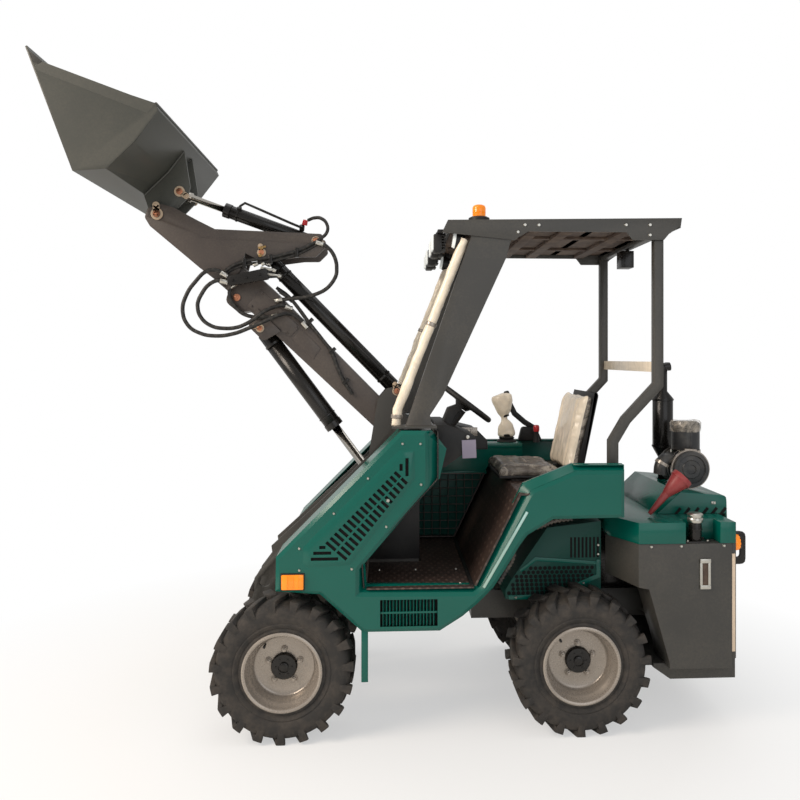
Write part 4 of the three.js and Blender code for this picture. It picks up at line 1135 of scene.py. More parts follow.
# ---- Canopy ------------------------------------------------------------------------------
POST_STOPS = [(-1092, 2112), (-1092, 1451), (-952, 1302), (-897, 1210), (-897, 1013)]
POST_Y = 422
STAY_Y = 412
STAY = [(26, 1282), (20, 1352), (-262, 2068)]
FILM_CUTS, FILM_STEP = 36, 22  # level cuts through a stay's film, and their distance, so that it can crumple
ROOF_BOLTS = [(-515, 2126), (-574, 2126), (-485, 2096), (-947, 2130), (-1050, 2131), (-1050, 2088)]
LAMP_YS = (330, 150, -150, -330)
ROUND_LAMP_Y = 395
BEACON_BASE = [(0, 0), (40, 0), (40, 14), (46, 18), (46, 32), (34, 38), (0, 38)]


class LOADER_OT_canopy(bpy.types.Operator):
    """Builds the canopy's posts, lining, wrapped stays, work lamps, beacon and bolts"""

    bl_idname = "loader.canopy"
    bl_label = "Canopy"

    def execute(self, context):
        posts = joined(
            *(side_plate(ribbon(POST_STOPS, 42), s * POST_Y - 20, s * POST_Y + 20, 4) for s in (LEFT, RIGHT)),
            slab(-1108, -1076, -POST_Y + 18, POST_Y - 18, 2088, 2110, 3),
            *(slab(-930, -862, s * POST_Y - 21, s * POST_Y + 21, 1013, 1021, 2) for s in (LEFT, RIGHT)),
        )
        ready(posts, "canopy_posts", "front_frame", "charcoal enamel",
              ["canopy_rear_frame"])
        cross = slab(-1099, -1091, -POST_Y + 20, POST_Y - 20, 1505, 1550, 1)
        ready(cross, "canopy_crossbar", "front_frame", "cream wrapping film")
        both_sides(self.wrapped_stay(), "stay_film", "front_frame", "cream wrapping film")
        both_sides(self.stay_ring(), "stay_ring", "front_frame", "rim silver paint")
        ready(self.lining(), "roof_lining", "front_frame", "roof lining")
        both_sides(heads(ROOF_BOLTS, 450, 8, 5, 12), "roof_bolts", "front_frame", "bright zinc")
        self.lamps()
        self.beacon()
        return {"FINISHED"}

    def wrapped_stay(self):
        film = tube([(x, STAY_Y, z) for x, z in STAY], 19, 20, smooth=False)
        with edited(film):
            for i in range(1, FILM_CUTS):
                bpy.ops.mesh.bisect(plane_co=at(0, 0, STAY[0][1] + i * FILM_STEP), plane_no=UP)
                bpy.ops.mesh.select_all(action="SELECT")
        return crumpled(film, 5, 30)

    def stay_ring(self):
        low = bar((24, STAY_Y, 1312), (23, STAY_Y, 1328), 25)
        return joined(low, bar((-118, STAY_Y, 1700), (-124, STAY_Y, 1716), 24))

    def lining(self):
        sheet = slab(-1140, -215, -436, 436, 2118, 2124, 0)
        ribs = [slab(x - 26, x + 26, -436, 436, 2100, 2119, 4) for x in (-330, -560, -700, -960)]
        rails = [slab(-1120, -240, s * 180 - 16, s * 180 + 16, 2106, 2119, 3) for s in (LEFT, RIGHT)]
        return joined(sheet, *ribs, *rails)

    def lamps(self):
        """Four ribbed lamps on a rail below the roof's front edge, with a round one beyond each end."""
        bodies, glasses = [slab(-176, -150, -400, 400, 2099, 2113, 2)], []
        for y in LAMP_YS:
            bodies.append(slab(-170, -134, y - 46, y + 46, 2022, 2098, 6))
            bodies += [slab(-186, -168, y - 44, y + 44, 2028 + i * 12, 2033 + i * 12, 1) for i in range(6)]
            bodies.append(slab(-160, -146, y - 5, y + 5, 2092, 2110, 1))
            glasses.append(slab(-135, -126, y - 40, y + 40, 2030, 2092, 3))
        for s in (LEFT, RIGHT):
            y = s * ROUND_LAMP_Y
            bodies.append(bar((-262, y, 2062), (-226, y, 2066), 26, 37, 28))
            bodies.append(beam((-250, y, 2062), (-250, y, 2118), 8, 22, (1, 0, 0)))
            glasses.append(bar((-226, y, 2066), (-214, y, 2068), 35, 30, 28))
        bodies.append(beam((-172, 0, 2106), (-215, 0, 2122), 600, 5, UP))
        ready(joined(*bodies), "work_lamps", "front_frame", "black ABS", ["front_lights"])
        ready(joined(*glasses), "work_lamp_glasses", "front_frame", "clear lens")

    def beacon(self):
        low, high = (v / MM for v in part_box("beacon"))
        foot = at((low.x + high.x) / 2, (low.y + high.y) / 2, low.z)
        ready(turned(BEACON_BASE, foot, UP), "beacon_base", "front_frame", "black ABS")
        top = high.z - low.z
        dome = [(0, 37), (28, 37), (29, 52), (27, 54), (29, 56), (29, top - 14), (25, top - 5), (16, top - 1),
                (0, top)]
        ready(turned(dome, foot, UP), "beacon_dome", "front_frame", "amber lens", ["beacon"])


# ---- Seat --------------------------------------------------------------------------------
CLOTH_FRAMES = 12
MOST_SWELL = 14 * MM
BELL_BASE = 2.72  # gives a channel's section the shape of a bell
SEAT_HALF, BACK_HALF, SHELL_HALF, PAN_HALF = 214, 204, 196, 206  # half of each piece's width
CUSHION_OUTLINE = [(-432, 1034, 16), (-436, 1068, 22), (-560, 1062, 30), (-728, 1056, 22), (-736, 1030, 12)]
BACK_OUTLINE = [(-756, 1040, 18), (-790, 1034, 10), (-868, 1392, 16), (-846, 1404, 12), (-832, 1380, 14)]
SHELL_OUTLINE = [(-788, 1030, 12), (-822, 1030, 14), (-900, 1404, 16), (-880, 1408, 12)]
PAN_OUTLINE = [(-440, 1020), (-442, 1034, 6), (-800, 1030, 6), (-820, 1020)]


def swollen(obj, voxel, pressure):
    """A cushion: its block is made an even net, blown up as cloth, held to a small swell and smoothed."""
    modified(obj, "REMESH", mode="VOXEL", voxel_size=voxel * MM)
    rest = [v.co.copy() for v in obj.data.vertices]
    pick(obj)
    cloth = obj.modifiers.new("cloth", "CLOTH")
    cloth.settings.use_pressure = True
    cloth.settings.uniform_pressure_force = pressure
    cloth.settings.effector_weights.gravity = 0
    for frame_number in range(1, CLOTH_FRAMES + 1):
        bpy.context.scene.frame_set(frame_number)
    bpy.ops.object.modifier_apply(modifier="cloth")
    bpy.context.scene.frame_set(1)
    for v, start in zip(obj.data.vertices, rest):
        move = v.co - start
        if move.length > MOST_SWELL:
            v.co = start + move.normalized() * MOST_SWELL
    modified(obj, "SMOOTH", factor=0.5, iterations=4)
    return obj


def channelled(obj, lines, axis, depth, width, facing):
    """Presses sewn channels into a cushion's faces that look one way."""
    for v in obj.data.vertices:
        if v.normal.dot(Vector(facing)) > 0.25:
            place = v.co[axis] / MM
            dip = sum(BELL_BASE ** (-(((place - line) / width) ** 2)) for line in lines)
            v.co -= Vector(facing) * (depth * MM * min(1, dip))
    return obj


class LOADER_OT_seat(bpy.types.Operator):
    """Builds the operator's seat: two swollen cushions, the back's shell, the slides and the wrapping film"""

    bl_idname = "loader.seat"
    bl_label = "Seat"

    def execute(self, context):
        cushion = side_plate(CUSHION_OUTLINE, -SEAT_HALF, SEAT_HALF, 10)
        swollen(cushion, 8, 5)
        channelled(cushion, (-150, 150), 1, 9, 9, UP)
        channelled(cushion, (-520, -590, -660), 0, 3, 7, UP)
        film = self.film(cushion, 3, 5.0)
        smoothed(cushion)
        ready(cushion, "seat_cushion_pad", "front_frame", "seat leathercloth", ["seat_cushion"])
        ready(film, "seat_cushion_film", "front_frame", "clear wrapping film")
        back = side_plate(BACK_OUTLINE, -BACK_HALF, BACK_HALF, 10)
        swollen(back, 8, 5)
        channelled(back, (-140, 140), 1, 7, 9, (1, 0, 0.2))
        back_film = self.film(back, 4, 9.0)
        smoothed(back)
        ready(back, "seat_back_pad", "front_frame", "seat leathercloth", ["seat_back"])
        self.divided(back_film)
        shell = side_plate(SHELL_OUTLINE, -SHELL_HALF, SHELL_HALF, 8)
        pan = side_plate(PAN_OUTLINE, -PAN_HALF, PAN_HALF, 5)
        hinges = [bar((-806, s * 212, 1052), (-806, s * 222, 1052), 20) for s in (LEFT, RIGHT)]
        lever = bar((-770, 212, 1030), (-690, 220, 1032), 6)
        ready(joined(shell, pan, *hinges, lever), "seat_shell", "front_frame", "black ABS")
        return {"FINISHED"}

    def film(self, pad, lift, seed):
        made = copied(pad)
        for v in made.data.vertices:
            v.co += v.normal * (1.2 * MM)
        smoothed(made)
        return crumpled(made, lift, 48, seed)

    def divided(self, film):
        """The film lies milky on the back's front and clear round its edge."""
        clear = copied(film)
        for piece, keeps_front in ((film, True), (clear, False)):
            with edited(piece):
                bpy.ops.mesh.bisect(plane_co=at(-812, 0, 1220), plane_no=(0.97, 0, 0.22),
                                    clear_inner=keeps_front, clear_outer=not keeps_front)
        ready(film, "seat_back_film", "front_frame", "cream wrapping film")
        ready(clear, "seat_back_edge_film", "front_frame", "clear wrapping film")


# ---- Operator's station ------------------------------------------------------------------
WHEEL_CENTRE = Vector(at(-305, 0, 1355))
WHEEL_AXIS = Vector((-0.6, 0, 0.8))
RIM_RADIUS, GRIP_RADIUS = 140, 13
WHEEL_HUB = [(0, -34), (30, -34), (46, -12), (44, 2), (34, 8), (0, 10)]
CONSOLE_Y = -340
MESH_OUTLINE = [(-440, 966), (-282, 640), (136, 640), (140, 722), (-92, 966)]
BACKING_OUTLINE = [(-440, 966), (-282, 644), (132, 644), (136, 720), (-94, 966)]
MESH_PITCH = 42
BOOT = [(52, 0), (50, 8), (38, 14), (42, 22), (30, 30), (33, 38), (20, 48), (22, 56), (13, 66), (0, 66)]
LEVER_FILM = [(36, 36), (46, 42), (40, 78), (27, 104), (14, 128), (15, 136), (34, 160), (46, 196),
              (54, 240), (48, 254), (0, 258)]
ARMREST_STOPS = [(-576, 1388), (-590, 1330), (-622, 1266), (-676, 1220), (-752, 1172)]
ARMREST_BASE = [(-640, 1120), (-660, 1196, 20), (-740, 1190, 16), (-770, 1120)]
PARK_SWITCH = (-725, -395, 1120)
COLUMN_OUTLINE = [(-168, 1200, 14), (-222, 1330, 10), (-280, 1350, 8), (-300, 1338, 8), (-262, 1296, 30),
                  (-236, 1240, 20), (-242, 1196, 8)]
COWL_OUTLINE = [(-120, 1150, 8), (-130, 1210, 14), (-250, 1246, 16), (-372, 1216, 18), (-420, 1168, 14),
                (-424, 1122, 6), (-160, 1122, 4)]
LEVER_FOOT = (-571, -430, 1121)


class LOADER_OT_station(bpy.types.Operator):
    """Builds the steering wheel, levers, gauges, key tag, console edge and mesh wall"""

    bl_idname = "loader.station"
    bl_label = "Operator's station"

    def execute(self, context):
        self.steering()
        self.controls()
        self.dash()
        ready(self.mesh_wall(), "mesh_grid", "front_frame", "arm enamel", ["mesh_wall"])
        backing = side_plate(BACKING_OUTLINE, CONSOLE_Y - 20, CONSOLE_Y - 17)
        ready(backing, "mesh_backing", "front_frame", "dulled green enamel")
        both_sides(self.tunnel_cover(), "tunnel_cover", "front_frame", "black ABS")
        ready(self.console_edge(), "console_edge", "front_frame", "green enamel")
        floor = FLOOR_Z / MM
        floor_bolts = scatter(bar((0, 0, 0), (0, 0, 4), 7, 5, 12, 0),
                              [at(x, y, floor) for x in (100, -60, -240) for y in (-430, 250, 470)])
        ready(floor_bolts, "floor_bolts", "front_frame", "bright zinc")
        ready(slab(-303, -276, -500, 500, floor, floor + 4, 1), "floor_trim", "front_frame", "black ABS")
        return {"FINISHED"}

    def steering(self):
        grip = [on_circle(GRIP_RADIUS, a) for a in range(0, 361, 30)]
        pieces = [turned([(RIM_RADIUS + r, h) for r, h in grip], WHEEL_CENTRE, WHEEL_AXIS, 64),
                  turned(WHEEL_HUB, WHEEL_CENTRE, WHEEL_AXIS, 32)]
        side = WHEEL_AXIS.cross(Vector(ACROSS)).normalized()
        for angle in (90, 210, 330):
            out = side * cos(radians(angle)) + Vector(ACROSS) * sin(radians(angle))
            start = (WHEEL_CENTRE + out * 36 * MM - WHEEL_AXIS * 12 * MM) / MM
            end = (WHEEL_CENTRE + out * (RIM_RADIUS - 4) * MM) / MM
            pieces.append(beam(start, end, 26, 9, WHEEL_AXIS, 3))
        ready(joined(*pieces), "steering_wheel_detail", "steering_wheel", "black ABS",
              ["steering_wheel"])

    def controls(self):
        x, y, z = LEVER_FOOT
        boot = turned(BOOT, at(x, y, z), UP, 32)
        stick = joined(boot, bar((x, y, z + 60), (x + 4, y, z + 150), 7),
                       bar((x + 4, y, z + 132), (x + 34, y, z + 236), 19, 25))
        ready(stick, "control_lever_detail", "front_frame", "black ABS", ["control_lever"])
        film = turned(LEVER_FILM, at(x - 8, y, z - 4), (0.14, 0, 1), 36)
        for v in film.data.vertices:
            v.co.y = y * MM + (v.co.y - y * MM) * 0.7
        smoothed(film)
        ready(crumpled(film, 9, 26, 2.0), "lever_film", "front_frame", "cream wrapping film")
        tails = [beam((x + s * 5, y, z + 118), (x + s * 10 + 6, y + 6, z + 2), 3, 1.2, (1, 0, 0), 0)
                 for s in (-1, 1)]
        ready(joined(*tails), "lever_film_tails", "front_frame", "cream wrapping film")
        arm = side_plate(ribbon(ARMREST_STOPS, 30), -492, -470, 8)
        base = side_plate(ARMREST_BASE, -500, -462, 6)
        ready(joined(arm, base), "armrest_lever", "front_frame", "black ABS")
        switch = turned([(0, 0), (17, 0), (16, 12), (12, 34), (13, 58), (0, 58)], at(*PARK_SWITCH), UP, 20)
        ready(switch, "park_switch", "front_frame", "black ABS")
        cap = turned([(0, 56), (14, 56), (16, 62), (16, 82), (12, 90), (0, 92)], at(*PARK_SWITCH), UP, 24)
        ready(cap, "park_switch_cap", "front_frame", "red knob plastic")

    def dash(self):
        tag = beam((-297, 258, 1202), (-300, 260, 1122), 62, 1.5, ACROSS, 0)
        ready(crumpled(tag, 1.2, 40), "key_tag", "front_frame", "tag paper")
        key = joined(bar((-292, 249, 1212), (-292, 262, 1212), 5),
                     bar((-292, 260, 1216), (-292, 264, 1216), 8))
        ready(key, "key", "front_frame", "bright zinc")
        column = side_plate(COLUMN_OUTLINE, -46, 46, 6)
        low = side_plate(COWL_OUTLINE, -338, -60, 8)
        ready(joined(column, low), "dash_cowl", "front_frame", "black ABS")
        gauges = [slab(-240 - i * 18, -230 - i * 18, -60.5, -56, 1196, 1222, 1) for i in range(7)]
        gauges.append(slab(-372, -228, -60, -59, 1188, 1230, 1))
        ready(joined(*gauges), "gauge_band", "front_frame", "rim silver paint")

    def mesh_wall(self):
        """A welded grid inside a flat frame, with a sloping edge at each end."""
        y = CONSOLE_Y - 2
        (tail_x, top), (foot_x, foot), (toe_x, _), (nose_x, nose_z), (brow_x, _) = MESH_OUTLINE
        behind = (foot_x - tail_x) / (top - foot)
        ahead = (nose_x - brow_x) / (top - nose_z)
        made = []
        for (x0, z0), (x1, z1) in zip(MESH_OUTLINE, MESH_OUTLINE[1:] + MESH_OUTLINE[:1]):
            made.append(beam((x0, y, z0), (x1, y, z1), 5, 20, ACROSS, 0))
        for z in range(foot + 40, top - 6, MESH_PITCH):
            start, end = tail_x + (top - z) * behind, min(toe_x + 2, brow_x + (top - z) * ahead)
            made.append(bar((start, y, z), (end, y, z), 2.2, None, 8, 0))
        for x in range(tail_x + 20, toe_x, MESH_PITCH):
            low, high = max(foot, top - (x - tail_x) / behind), min(top, top - (x - brow_x) / ahead)
            if high - low > 30:
                made.append(bar((x, y - 2, low), (x, y - 2, high), 2.2, None, 8, 0))
        return joined(*made)

    def console_edge(self):
        lip = slab(-640, -160, CONSOLE_Y - 2, CONSOLE_Y + 6, 1096, 1121, 3)
        return joined(lip, slab(-452, -160, CONSOLE_Y - 2, CONSOLE_Y + 5, 962, 978, 2))

    def tunnel_cover(self):
        """The black cover over the arm's tunnel between the operator's feet."""
        return side_plate([(-84, 642), (144, 642), (148, 732), (-84, 984)], 109, 113)


# ---- Rear body ---------------------------------------------------------------------------
TANK_FACE = 500
ENCLOSURE_FACE = 300
HOLE_PITCH = 21
MESH_ROWS = [(-840, 14, 640), (-830, 15, 622), (-840, 17, 604), (-800, 15, 586), (-760, 14, 568),
             (-720, 12, 550), (-680, 11, 532)]  # first hole's x, holes in the row, and height
CONDUIT_RADIUS, RIPPLE_HEIGHT, RIPPLE_PITCH = 10, 2, 20
SCREEN_SLOTS = range(-866, -730, 17)
FLANGE_STOPS = [(-868, 676), (-868, 604), (-660, 514), (-468, 514)]
BAND_OUTLINE = [(-876, 666), (-876, 652), (-590, 672), (-526, 624), (-514, 634), (-586, 690)]
SCREEN_SCREWS = [(-866, 740), (-866, 700), (-800, 574), (-640, 514), (-500, 514)]
TANK_SCREWS = [(-1039, 776), (-1167, 777), (-1350, 777)]
FILLER = (-1240, 463)
CAP_SECTION = [(0, 84), (31, 84), (33, 88), (33, 100), (30, 104), (33, 108), (33, 118), (28, 122), (0, 122)]
TAIL_LAMP = [(0, 0), (35, 0), (36, 8), (36, 34), (33, 46), (24, 54), (0, 57)]
HOOD_FACE = 320
FUNNEL_Y = 372
FILTER = (-1325, 1056)
FILTER_FACE = [(0, 209), (20, 209), (22, 214), (40, 214), (44, 209), (62, 209), (66, 216), (80, 216),
               (84, 206)]
PRECLEANER = (-1339, 100)
EXHAUST = (-1302, -100)
CONDUIT = [(-396, 497, 634), (-428, 497, 688), (-456, 496, 738), (-459, 496, 790), (-461, 496, 836),
           (-500, 490, 858), (-566, 488, 864), (-620, 488, 885), (-660, 488, 893), (-706, 488, 896)]


class LOADER_OT_rear(bpy.types.Operator):
    """Builds the details of the tail: screens, slots, filler, gauge, funnel, lamps, filter and exhaust"""

    bl_idname = "loader.rear"
    bl_label = "Rear body"

    def execute(self, context):
        self.enclosure()
        self.tank()
        self.hood()
        self.filter_and_exhaust()
        conduit = tube(CONDUIT, CONDUIT_RADIUS, 20)
        modified(conduit, "SUBSURF", levels=2, render_levels=2, subdivision_type="SIMPLE")
        for v in conduit.data.vertices:
            v.co += v.normal * RIPPLE_HEIGHT * MM * sin(2 * pi * (v.co.x - v.co.z) / (RIPPLE_PITCH * MM))
        ready(conduit, "arch_conduit", "front_frame", "corrugated hose plastic")
        return {"FINISHED"}

    def enclosure(self):
        y = ENCLOSURE_FACE
        rows = []
        for x, count, z in MESH_ROWS:
            hole = bar((x, y, z), (x, y + 0.8, z), 9.2, None, 6, 0)
            rows.append(in_a_row(hole, count, HOLE_PITCH * MM))
        slots = [slab(x - 4.5, x + 4.5, y, y + 0.8, 684, 774, 0) for x in SCREEN_SLOTS]
        both_sides(joined(*rows, *slots), "enclosure_holes", "rear_frame", "matt black inside")
        flange = side_plate(ribbon(FLANGE_STOPS, 20), y, y + 5)
        band = side_plate(BAND_OUTLINE, y, y + 4)
        both_sides(joined(flange, band), "enclosure_flange", "rear_frame", "green enamel")
        both_sides(heads(SCREEN_SCREWS, y + 5), "enclosure_screws", "rear_frame", "bright zinc")

    def tank(self):
        y = TANK_FACE
        both_sides(heads(TANK_SCREWS, y, 7), "tank_screws", "rear_frame", "bright zinc")
        fx, fy = FILLER
        neck = joined(slab(fx - 54, fx + 52, fy - 35, fy + 35, 787, 795, 3),
                      bar((fx, fy, 790), (fx, fy, 872), 27),
                      bar((fx, fy, 838), (fx, fy, 846), 30))
        ready(neck, "filler_neck", "rear_frame", "black enamel")
        ready(turned(CAP_SECTION, at(fx, fy, 787), UP, 36), "filler_cap", "rear_frame", "bright zinc")
        studs = scatter(bar((0, 0, 0), (0, 0, 5), 5, None, 6, 0),
                        [at(x, b, 795) for x in (fx - 44, fx + 42) for b in (fy - 27, fy + 27)])
        ready(studs, "filler_studs", "rear_frame", "bright zinc")
        frame_bars = [slab(-1291, -1245, y, y + 9, 597, 614, 2), slab(-1291, -1245, y, y + 9, 706, 724, 2),
                      slab(-1291, -1280, y, y + 6, 600, 720, 1), slab(-1256, -1245, y, y + 6, 600, 720, 1)]
        ready(joined(*frame_bars), "level_gauge_frame", "rear_frame", "bright zinc")
        ready(slab(-1280, -1256, y, y + 3, 610, 710, 1), "level_gauge_glass", "rear_frame", "roof lining")
        both_sides(slab(-1400, -1385, y - 26, y - 1, 330, 742, 2), "tail_foam", "rear_frame", "foam strip")
        lamp = turned(TAIL_LAMP, at(-1410, 400, 768), (-1, 0, 0), 28)
        both_sides(lamp, "tail_lamp", "rear_frame", "amber lens")

    def hood(self):
        y = HOOD_FACE
        slots = [beam((-1208 - 41 * i, y + 0.2, 872), (-1232 - 41 * i, y + 0.2, 902), 13, 1.2, ACROSS, 0)
                 for i in range(6)]
        both_sides(joined(*slots), "hood_slots", "rear_frame", "matt black inside")
        latch = joined(slab(-1390, -1370, y, y + 4, 918, 930, 2),
                       bar((-1381, y, 924), (-1381, y + 12, 924), 4.5))
        both_sides(latch, "hood_latch", "rear_frame", "bright zinc")
        y = FUNNEL_Y
        funnel = joined(bar((-1074, y, 888), (-1150, y, 976), 9, 18, 24),
                        bar((-1148, y, 974), (-1212, y, 1036), 19, 46, 28),
                        bar((-1208, y, 1032), (-1224, y, 1048), 48, 46, 28))
        ready(funnel, "funnel", "rear_frame", "red polythene")

    def filter_and_exhaust(self):
        x, z = FILTER
        middle = at(x, 0, z)
        ribs = [hoop(83, 87, y, y + 9, middle, ACROSS, 40) for y in (20, 60, 100, 140, 176)]
        inlet = tube([(-1262, 150, 1092), (-1222, 168, 1100), (-1198, 176, 1078), (-1190, 176, 1030)], 30, 24)
        ready(joined(*ribs, turned(FILTER_FACE, middle, ACROSS, 40), inlet), "filter_ribs", "rear_frame",
              "filter housing plastic")
        clamp = hoop(83, 90, 186, 200, middle, ACROSS, 40)
        screw = bar((x - 30, 193, z + 84), (x + 24, 193, z + 88), 6)
        inlet_clamp = hoop(31, 34, 0, 14, at(-1204, 175, 1086), (0.5, 0, -0.8), 32)
        ready(joined(clamp, screw, inlet_clamp), "filter_clamps", "rear_frame", "rim silver paint")
        self.precleaner()
        x, y = EXHAUST
        pipe = tube([(x, y, 1440), (x, y, 1500), (x - 8, y, 1520), (x - 36, y, 1524)], 21, 24)
        seams = [hoop(50, 53, z, z + 8, at(x, y, DECK_Z / MM), UP, 32) for z in (250, 480)]
        ready(joined(pipe, *seams), "exhaust_tail", "rear_frame", "black enamel")

    def precleaner(self):
        top = (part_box("air_cleaner")[1] / MM).z
        foot = at(*PRECLEANER, 0)
        dome = [(0, top), (52, top), (64, top - 8), (68, top - 22), (68, top - 30), (64, top - 34)]
        stay = slab(-1341, -1337, 163, 167, 1150, 1230, 0)
        cap = joined(turned(dome, foot, UP, 40), stay)
        ready(cap, "precleaner_cap", "rear_frame", "filter housing plastic")
        ready(hoop(66, 69, 1123, 1136, foot, UP, 40), "precleaner_band", "rear_frame", "hard chrome")
        wrap = turned([(67, 1222), (70, 1226), (70, 1262), (64, 1272), (40, 1274)], foot, UP, 40)
        ready(crumpled(wrap, 3, 22, 7.0), "precleaner_film", "rear_frame", "clear wrapping film")


# ---- Arm and bucket ----------------------------------------------------------------------
BUCKET_PIVOT = (1108, 2220)
TILT_HEAD, TILT_FOOT = (1013, 2328), (391, 2104)
LIFT_HEAD, LIFT_FOOT = (650, 1703), (-8, 812)
LEVEL_PIN, LEVEL_HEAD = (20, 1414), (638, 2048)
BOOM_PIVOT = (10, 1195)
UPPER_COVER = [(648, 1884), (710, 1806), (515, 1664), (470, 1708)]
LOWER_COVER = [(460, 1698), (504, 1654), (408, 1560), (374, 1612)]
COVER_SCREWS = [(640, 1866), (690, 1806), (528, 1682), (484, 1708)]
CLAMPED_RADIUS = 8
HEAD_RUN = [(430, 60, 2206), (400, 84, 2212), (366, 104, 2206), (342, 112, 2182), (338, 112, 2148),
            (366, 112, 2114), (420, 112, 2082), (477, 112, 2056), (540, 112, 2038), (595, 112, 2025),
            (655, 112, 2016), (713, 112, 2006), (762, 112, 1988), (800, 112, 1962)]
TILT_PIPE = [(753, 18, 2262), (750, 18, 2276), (728, 18, 2290), (640, 18, 2252), (520, 18, 2200),
             (467, 18, 2178)]
BUNDLE = [(560, 1872), (507, 1834), (465, 1784), (426, 1730), (366, 1654), (322, 1594), (292, 1516),
          (262, 1452), (226, 1398)]
NOSE_LOOP = [(764, 70, 1905), (778, 72, 1895), (788, 73, 1874), (787, 74, 1850), (780, 74, 1828),
             (770, 74, 1812), (752, 74, 1790), (735, 74, 1775), (712, 74, 1763), (690, 74, 1757),
             (666, 74, 1753), (640, 73, 1753), (615, 72, 1755), (592, 70, 1759), (572, 68, 1764)]


class LOADER_OT_arm(bpy.types.Operator):
    """Builds the arm's pins, keepers, clamped hoses, pipe, fittings, cover plates and collars"""

    bl_idname = "loader.arm"
    bl_label = "Arm"

    def execute(self, context):
        self.pins()
        self.boom_plates()
        self.clamped_hoses()
        self.fittings()
        self.cylinder_collars()
        return {"FINISHED"}

    def keeper(self, place, y, turn=90.0, size=30):
        """A round boss with a tab, held by one screw, round a pin's end."""
        x, z = place
        reach = size * 1.5
        tab = (x + reach * cos(radians(turn)), z + reach * sin(radians(turn)))
        return joined(
            bar((x, y, z), (x, y + 5, z), size, None, 32),
            beam((x, y + 2.5, z), (tab[0], y + 2.5, tab[1]), size * 1.15, 5, ACROSS),
            bar((tab[0], y, tab[1]), (tab[0], y + 5, tab[1]), size * 0.58, None, 24),
            bar((tab[0], y + 3, tab[1]), (tab[0], y + 7, tab[1]), 7, None, 6),
        )

    def pins(self):
        for name, place, y, turn, size, body in (
            ("bucket_pin", BUCKET_PIVOT, 101, 84, 27, "boom"),
            ("tilt_head_pin", TILT_HEAD, 78.2, 215, 24, "bucket"),
            ("tilt_foot_pin", TILT_FOOT, 101, 200, 20, "boom"),
            ("level_head_pin", LEVEL_HEAD, 101, 80, 20, "boom"),
            ("lift_head_pin", LIFT_HEAD, 70, 20, 19, "boom"),
            ("level_foot_pin", LEVEL_PIN, 108, 75, 21, "front_frame"),
            ("boom_foot_pin", BOOM_PIVOT, 108, 200, 24, "front_frame"),
        ):
            both_sides(self.keeper(place, y, turn, size), f"{name}_keeper", body, "worn pin boss")
            x, z = place
            rise = 1.5 if body == "bucket" else 6  # the bucket's ears pass close inside the head's cheeks
            head = joined(bar((x, y + 4, z), (x, y + 5 + rise, z), size * 0.62, None, 28),
                          bar((x, y + 4, z), (x, y + 5 + 1.5 * rise, z), 4.5, None, 8))
            both_sides(head, f"{name}_end", body, "coppered pin steel")
        nose = joined(bar((759, 55, 1846), (759, 61, 1846), 17, None, 28),
                      bar((759, 60, 1846), (759, 66, 1846), 8))
        both_sides(nose, "nose_pin", "boom", "coppered pin steel")

    def boom_plates(self):
        covers = joined(side_plate(UPPER_COVER, 54, 58.5), side_plate(LOWER_COVER, 54, 57.5))
        both_sides(covers, "boom_covers", "boom", "arm enamel")
        both_sides(heads(COVER_SCREWS, 58.5), "cover_screws", "boom", "arm enamel")
        seam = beam((930, 100.5, 2118), (480, 100.5, 2096), 4, 1.5, ACROSS, 0)
        both_sides(seam, "head_seam", "boom", "arm enamel")

    def clamped_hoses(self):
        """Three hoses side by side down the boom, and two along its head, under their clamps."""
        runs = [tube([(x + s * 10, y, z + s * 11) for x, z in BUNDLE], CLAMPED_RADIUS, 14)
                for s, y in enumerate((64, 50, 34))]
        ready(joined(*runs), "boom_hoses", "boom", "braided hose rubber")
        clamps = [beam((x - 4, 44, z + 6), (x - 4, 74, z + 6), 16, 36, (-0.7, 0, 0.7), 2)
                  for x, z in BUNDLE[1:8:2]]
        ready(joined(*clamps), "boom_hose_clamps", "boom", "black enamel")
        upper = tube(HEAD_RUN, CLAMPED_RADIUS, 14)
        ready(upper, "head_hose", "boom", "braided hose rubber")
        lower = tube([(x + 8, 104, z - 17) for x, _, z in HEAD_RUN[5:]], CLAMPED_RADIUS, 14)
        ready(lower, "head_hose_lower", "boom", "braided hose rubber")
        grips = [slab(x - 8, x + 8, 99, 124, z - 30, z + 13, 2) for x, _, z in HEAD_RUN[7:12:2]]
        ready(joined(*grips), "head_hose_clamps", "boom", "black enamel")

    def fittings(self):
        brass = [beam((618, 106, 2076), (652, 106, 2068), 10, 7, ACROSS, 2),
                 bar((637, 100, 2068), (637, 116, 2068), 9, None, 6),
                 bar((643, 100, 2034), (643, 116, 2034), 9, None, 6)]
        ready(joined(*brass), "brass_fittings", "boom", "fitting brass")
        nipples = [
            bar((640, 118, 1976), (584, 118, 1966), 7.5), bar((584, 118, 1966), (570, 118, 1963), 10, 7),
            bar((620, 118, 1950), (560, 118, 1940), 7.5), bar((560, 118, 1940), (546, 118, 1937), 10, 7),
            bar((672, 118, 1986), (652, 118, 1996), 8), bar((636, 118, 1990), (622, 118, 1998), 8),
        ]
        ready(joined(*nipples), "coupler_nipples", "boom", "bright zinc")
        block_bolts = heads([(640, 1944), (700, 1930), (762, 1918)], 134, 7, 5, 6)
        ready(block_bolts, "coupler_bolts", "boom", "black enamel")
        pipe = tube(TILT_PIPE, 6, 12, smooth=False)
        ports = [bar((753, 10, 2250), (753, 26, 2268), 12, None, 6),
                 bar((466, 10, 2166), (462, 26, 2186), 13, None, 6)]
        ready(joined(pipe, *ports), "tilt_pipe", "tilt_barrel", "black enamel")
        cap = bar((452, 20, 2190), (446, 26, 2212), 13, 11, 20)
        ready(cap, "port_cap", "tilt_barrel", "red knob plastic")

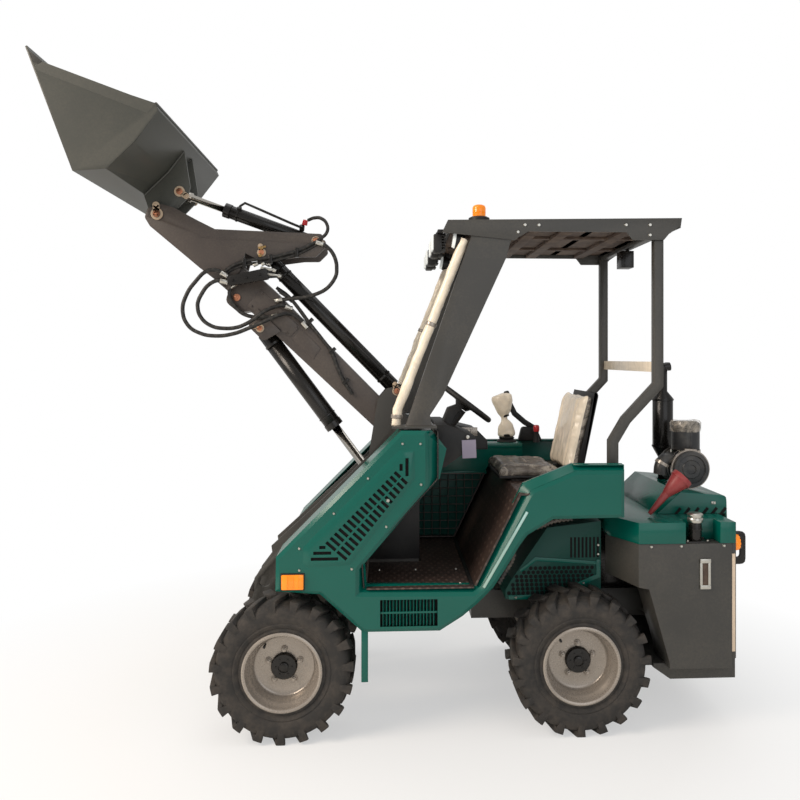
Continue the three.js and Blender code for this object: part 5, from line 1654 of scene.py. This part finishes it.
    def cylinder_collars(self):
        for name, start, end, gland, radius in (
            ("lift", LIFT_HEAD, LIFT_FOOT, 575, 40), ("level", LEVEL_PIN, LEVEL_HEAD, 818, 35),
            ("tilt", TILT_FOOT, TILT_HEAD, 462, 31),
        ):
            foot = Vector(at(start[0], 0, start[1]))
            axis = Vector(at(end[0], 0, end[1])) - foot
            rings = [hoop(radius - 1, radius + 3, d, d + w, foot, axis, 36)
                     for d, w in ((gland - 30, 29), (gland - 70, 6), (84, 10))]
            ready(joined(*rings), f"{name}_collars", f"{name}_barrel", "black enamel")


EDGE_OUTLINE = [(1486, 2790), (1423, 2737), (1437, 2716), (1452, 2712)]
BAND_LINE = [(1450, 2712), (1441, 2699), (1014, 2537), (984, 2574), (1420, 2733)]
BRACKET_SEAM = [(1172, 2309), (1062, 2417), (992, 2512)]


class LOADER_OT_bucket_details(bpy.types.Operator):
    """Builds the bucket's cutting edge, side bands and weld beads"""

    bl_idname = "loader.bucket_details"
    bl_label = "Bucket details"

    def execute(self, context):
        edge = side_plate(EDGE_OUTLINE, -554, 554, 1)
        ready(edge, "cutting_edge", "bucket", "charcoal enamel")
        band = side_plate(BAND_LINE, 552, 555.3, 0.3)
        both_sides(band, "side_band", "bucket", "bucket enamel", smooth=20)
        beads = [tube([(x, y, z) for x, z in BRACKET_SEAM], 4, 8, smooth=False) for y in (80, -80)]
        lip = tube([(982, -550, 2576), (982, 550, 2576)], 7, 12, smooth=False)
        ready(joined(*beads, lip), "weld_beads", "bucket", "bucket enamel")
        return {"FINISHED"}


# ---- Add-on ------------------------------------------------------------------------------
STEPS = [
    LOADER_OT_camera,
    LOADER_OT_hoses,
    LOADER_OT_stage,
    LOADER_OT_frame_finishes,
    LOADER_OT_wheels,
    LOADER_OT_side_panels,
    LOADER_OT_canopy,
    LOADER_OT_seat,
    LOADER_OT_station,
    LOADER_OT_rear,
    LOADER_OT_arm,
    LOADER_OT_bucket_details,
]


class LOADER_PT_panel(bpy.types.Panel):
    """Lists the pieces in the order in which they are built"""

    bl_idname = "LOADER_PT_panel"
    bl_label = "Compact Loader"
    bl_space_type = "VIEW_3D"
    bl_region_type = "UI"
    bl_category = "Loader"

    def draw(self, context):
        for owner in (context.scene.loader_colours, context.scene.loader_sizes):
            for name in owner.bl_rna.properties.keys():
                if name not in ("rna_type", "name"):
                    self.layout.prop(owner, name)
        for step in STEPS:
            self.layout.operator(step.bl_idname)


CLASSES = [LoaderColours, LoaderSizes, *STEPS, LOADER_PT_panel]


def register():
    for one in CLASSES:
        bpy.utils.register_class(one)
    bpy.types.Scene.loader_colours = PointerProperty(type=LoaderColours)
    bpy.types.Scene.loader_sizes = PointerProperty(type=LoaderSizes)


def unregister():
    del bpy.types.Scene.loader_sizes
    del bpy.types.Scene.loader_colours
    for one in reversed(CLASSES):
        bpy.utils.unregister_class(one)


def main():
    register()
    for step in STEPS:
        group, name = step.bl_idname.split(".")
        getattr(getattr(bpy.ops, group), name)()


if __name__ == "__main__":
    main()
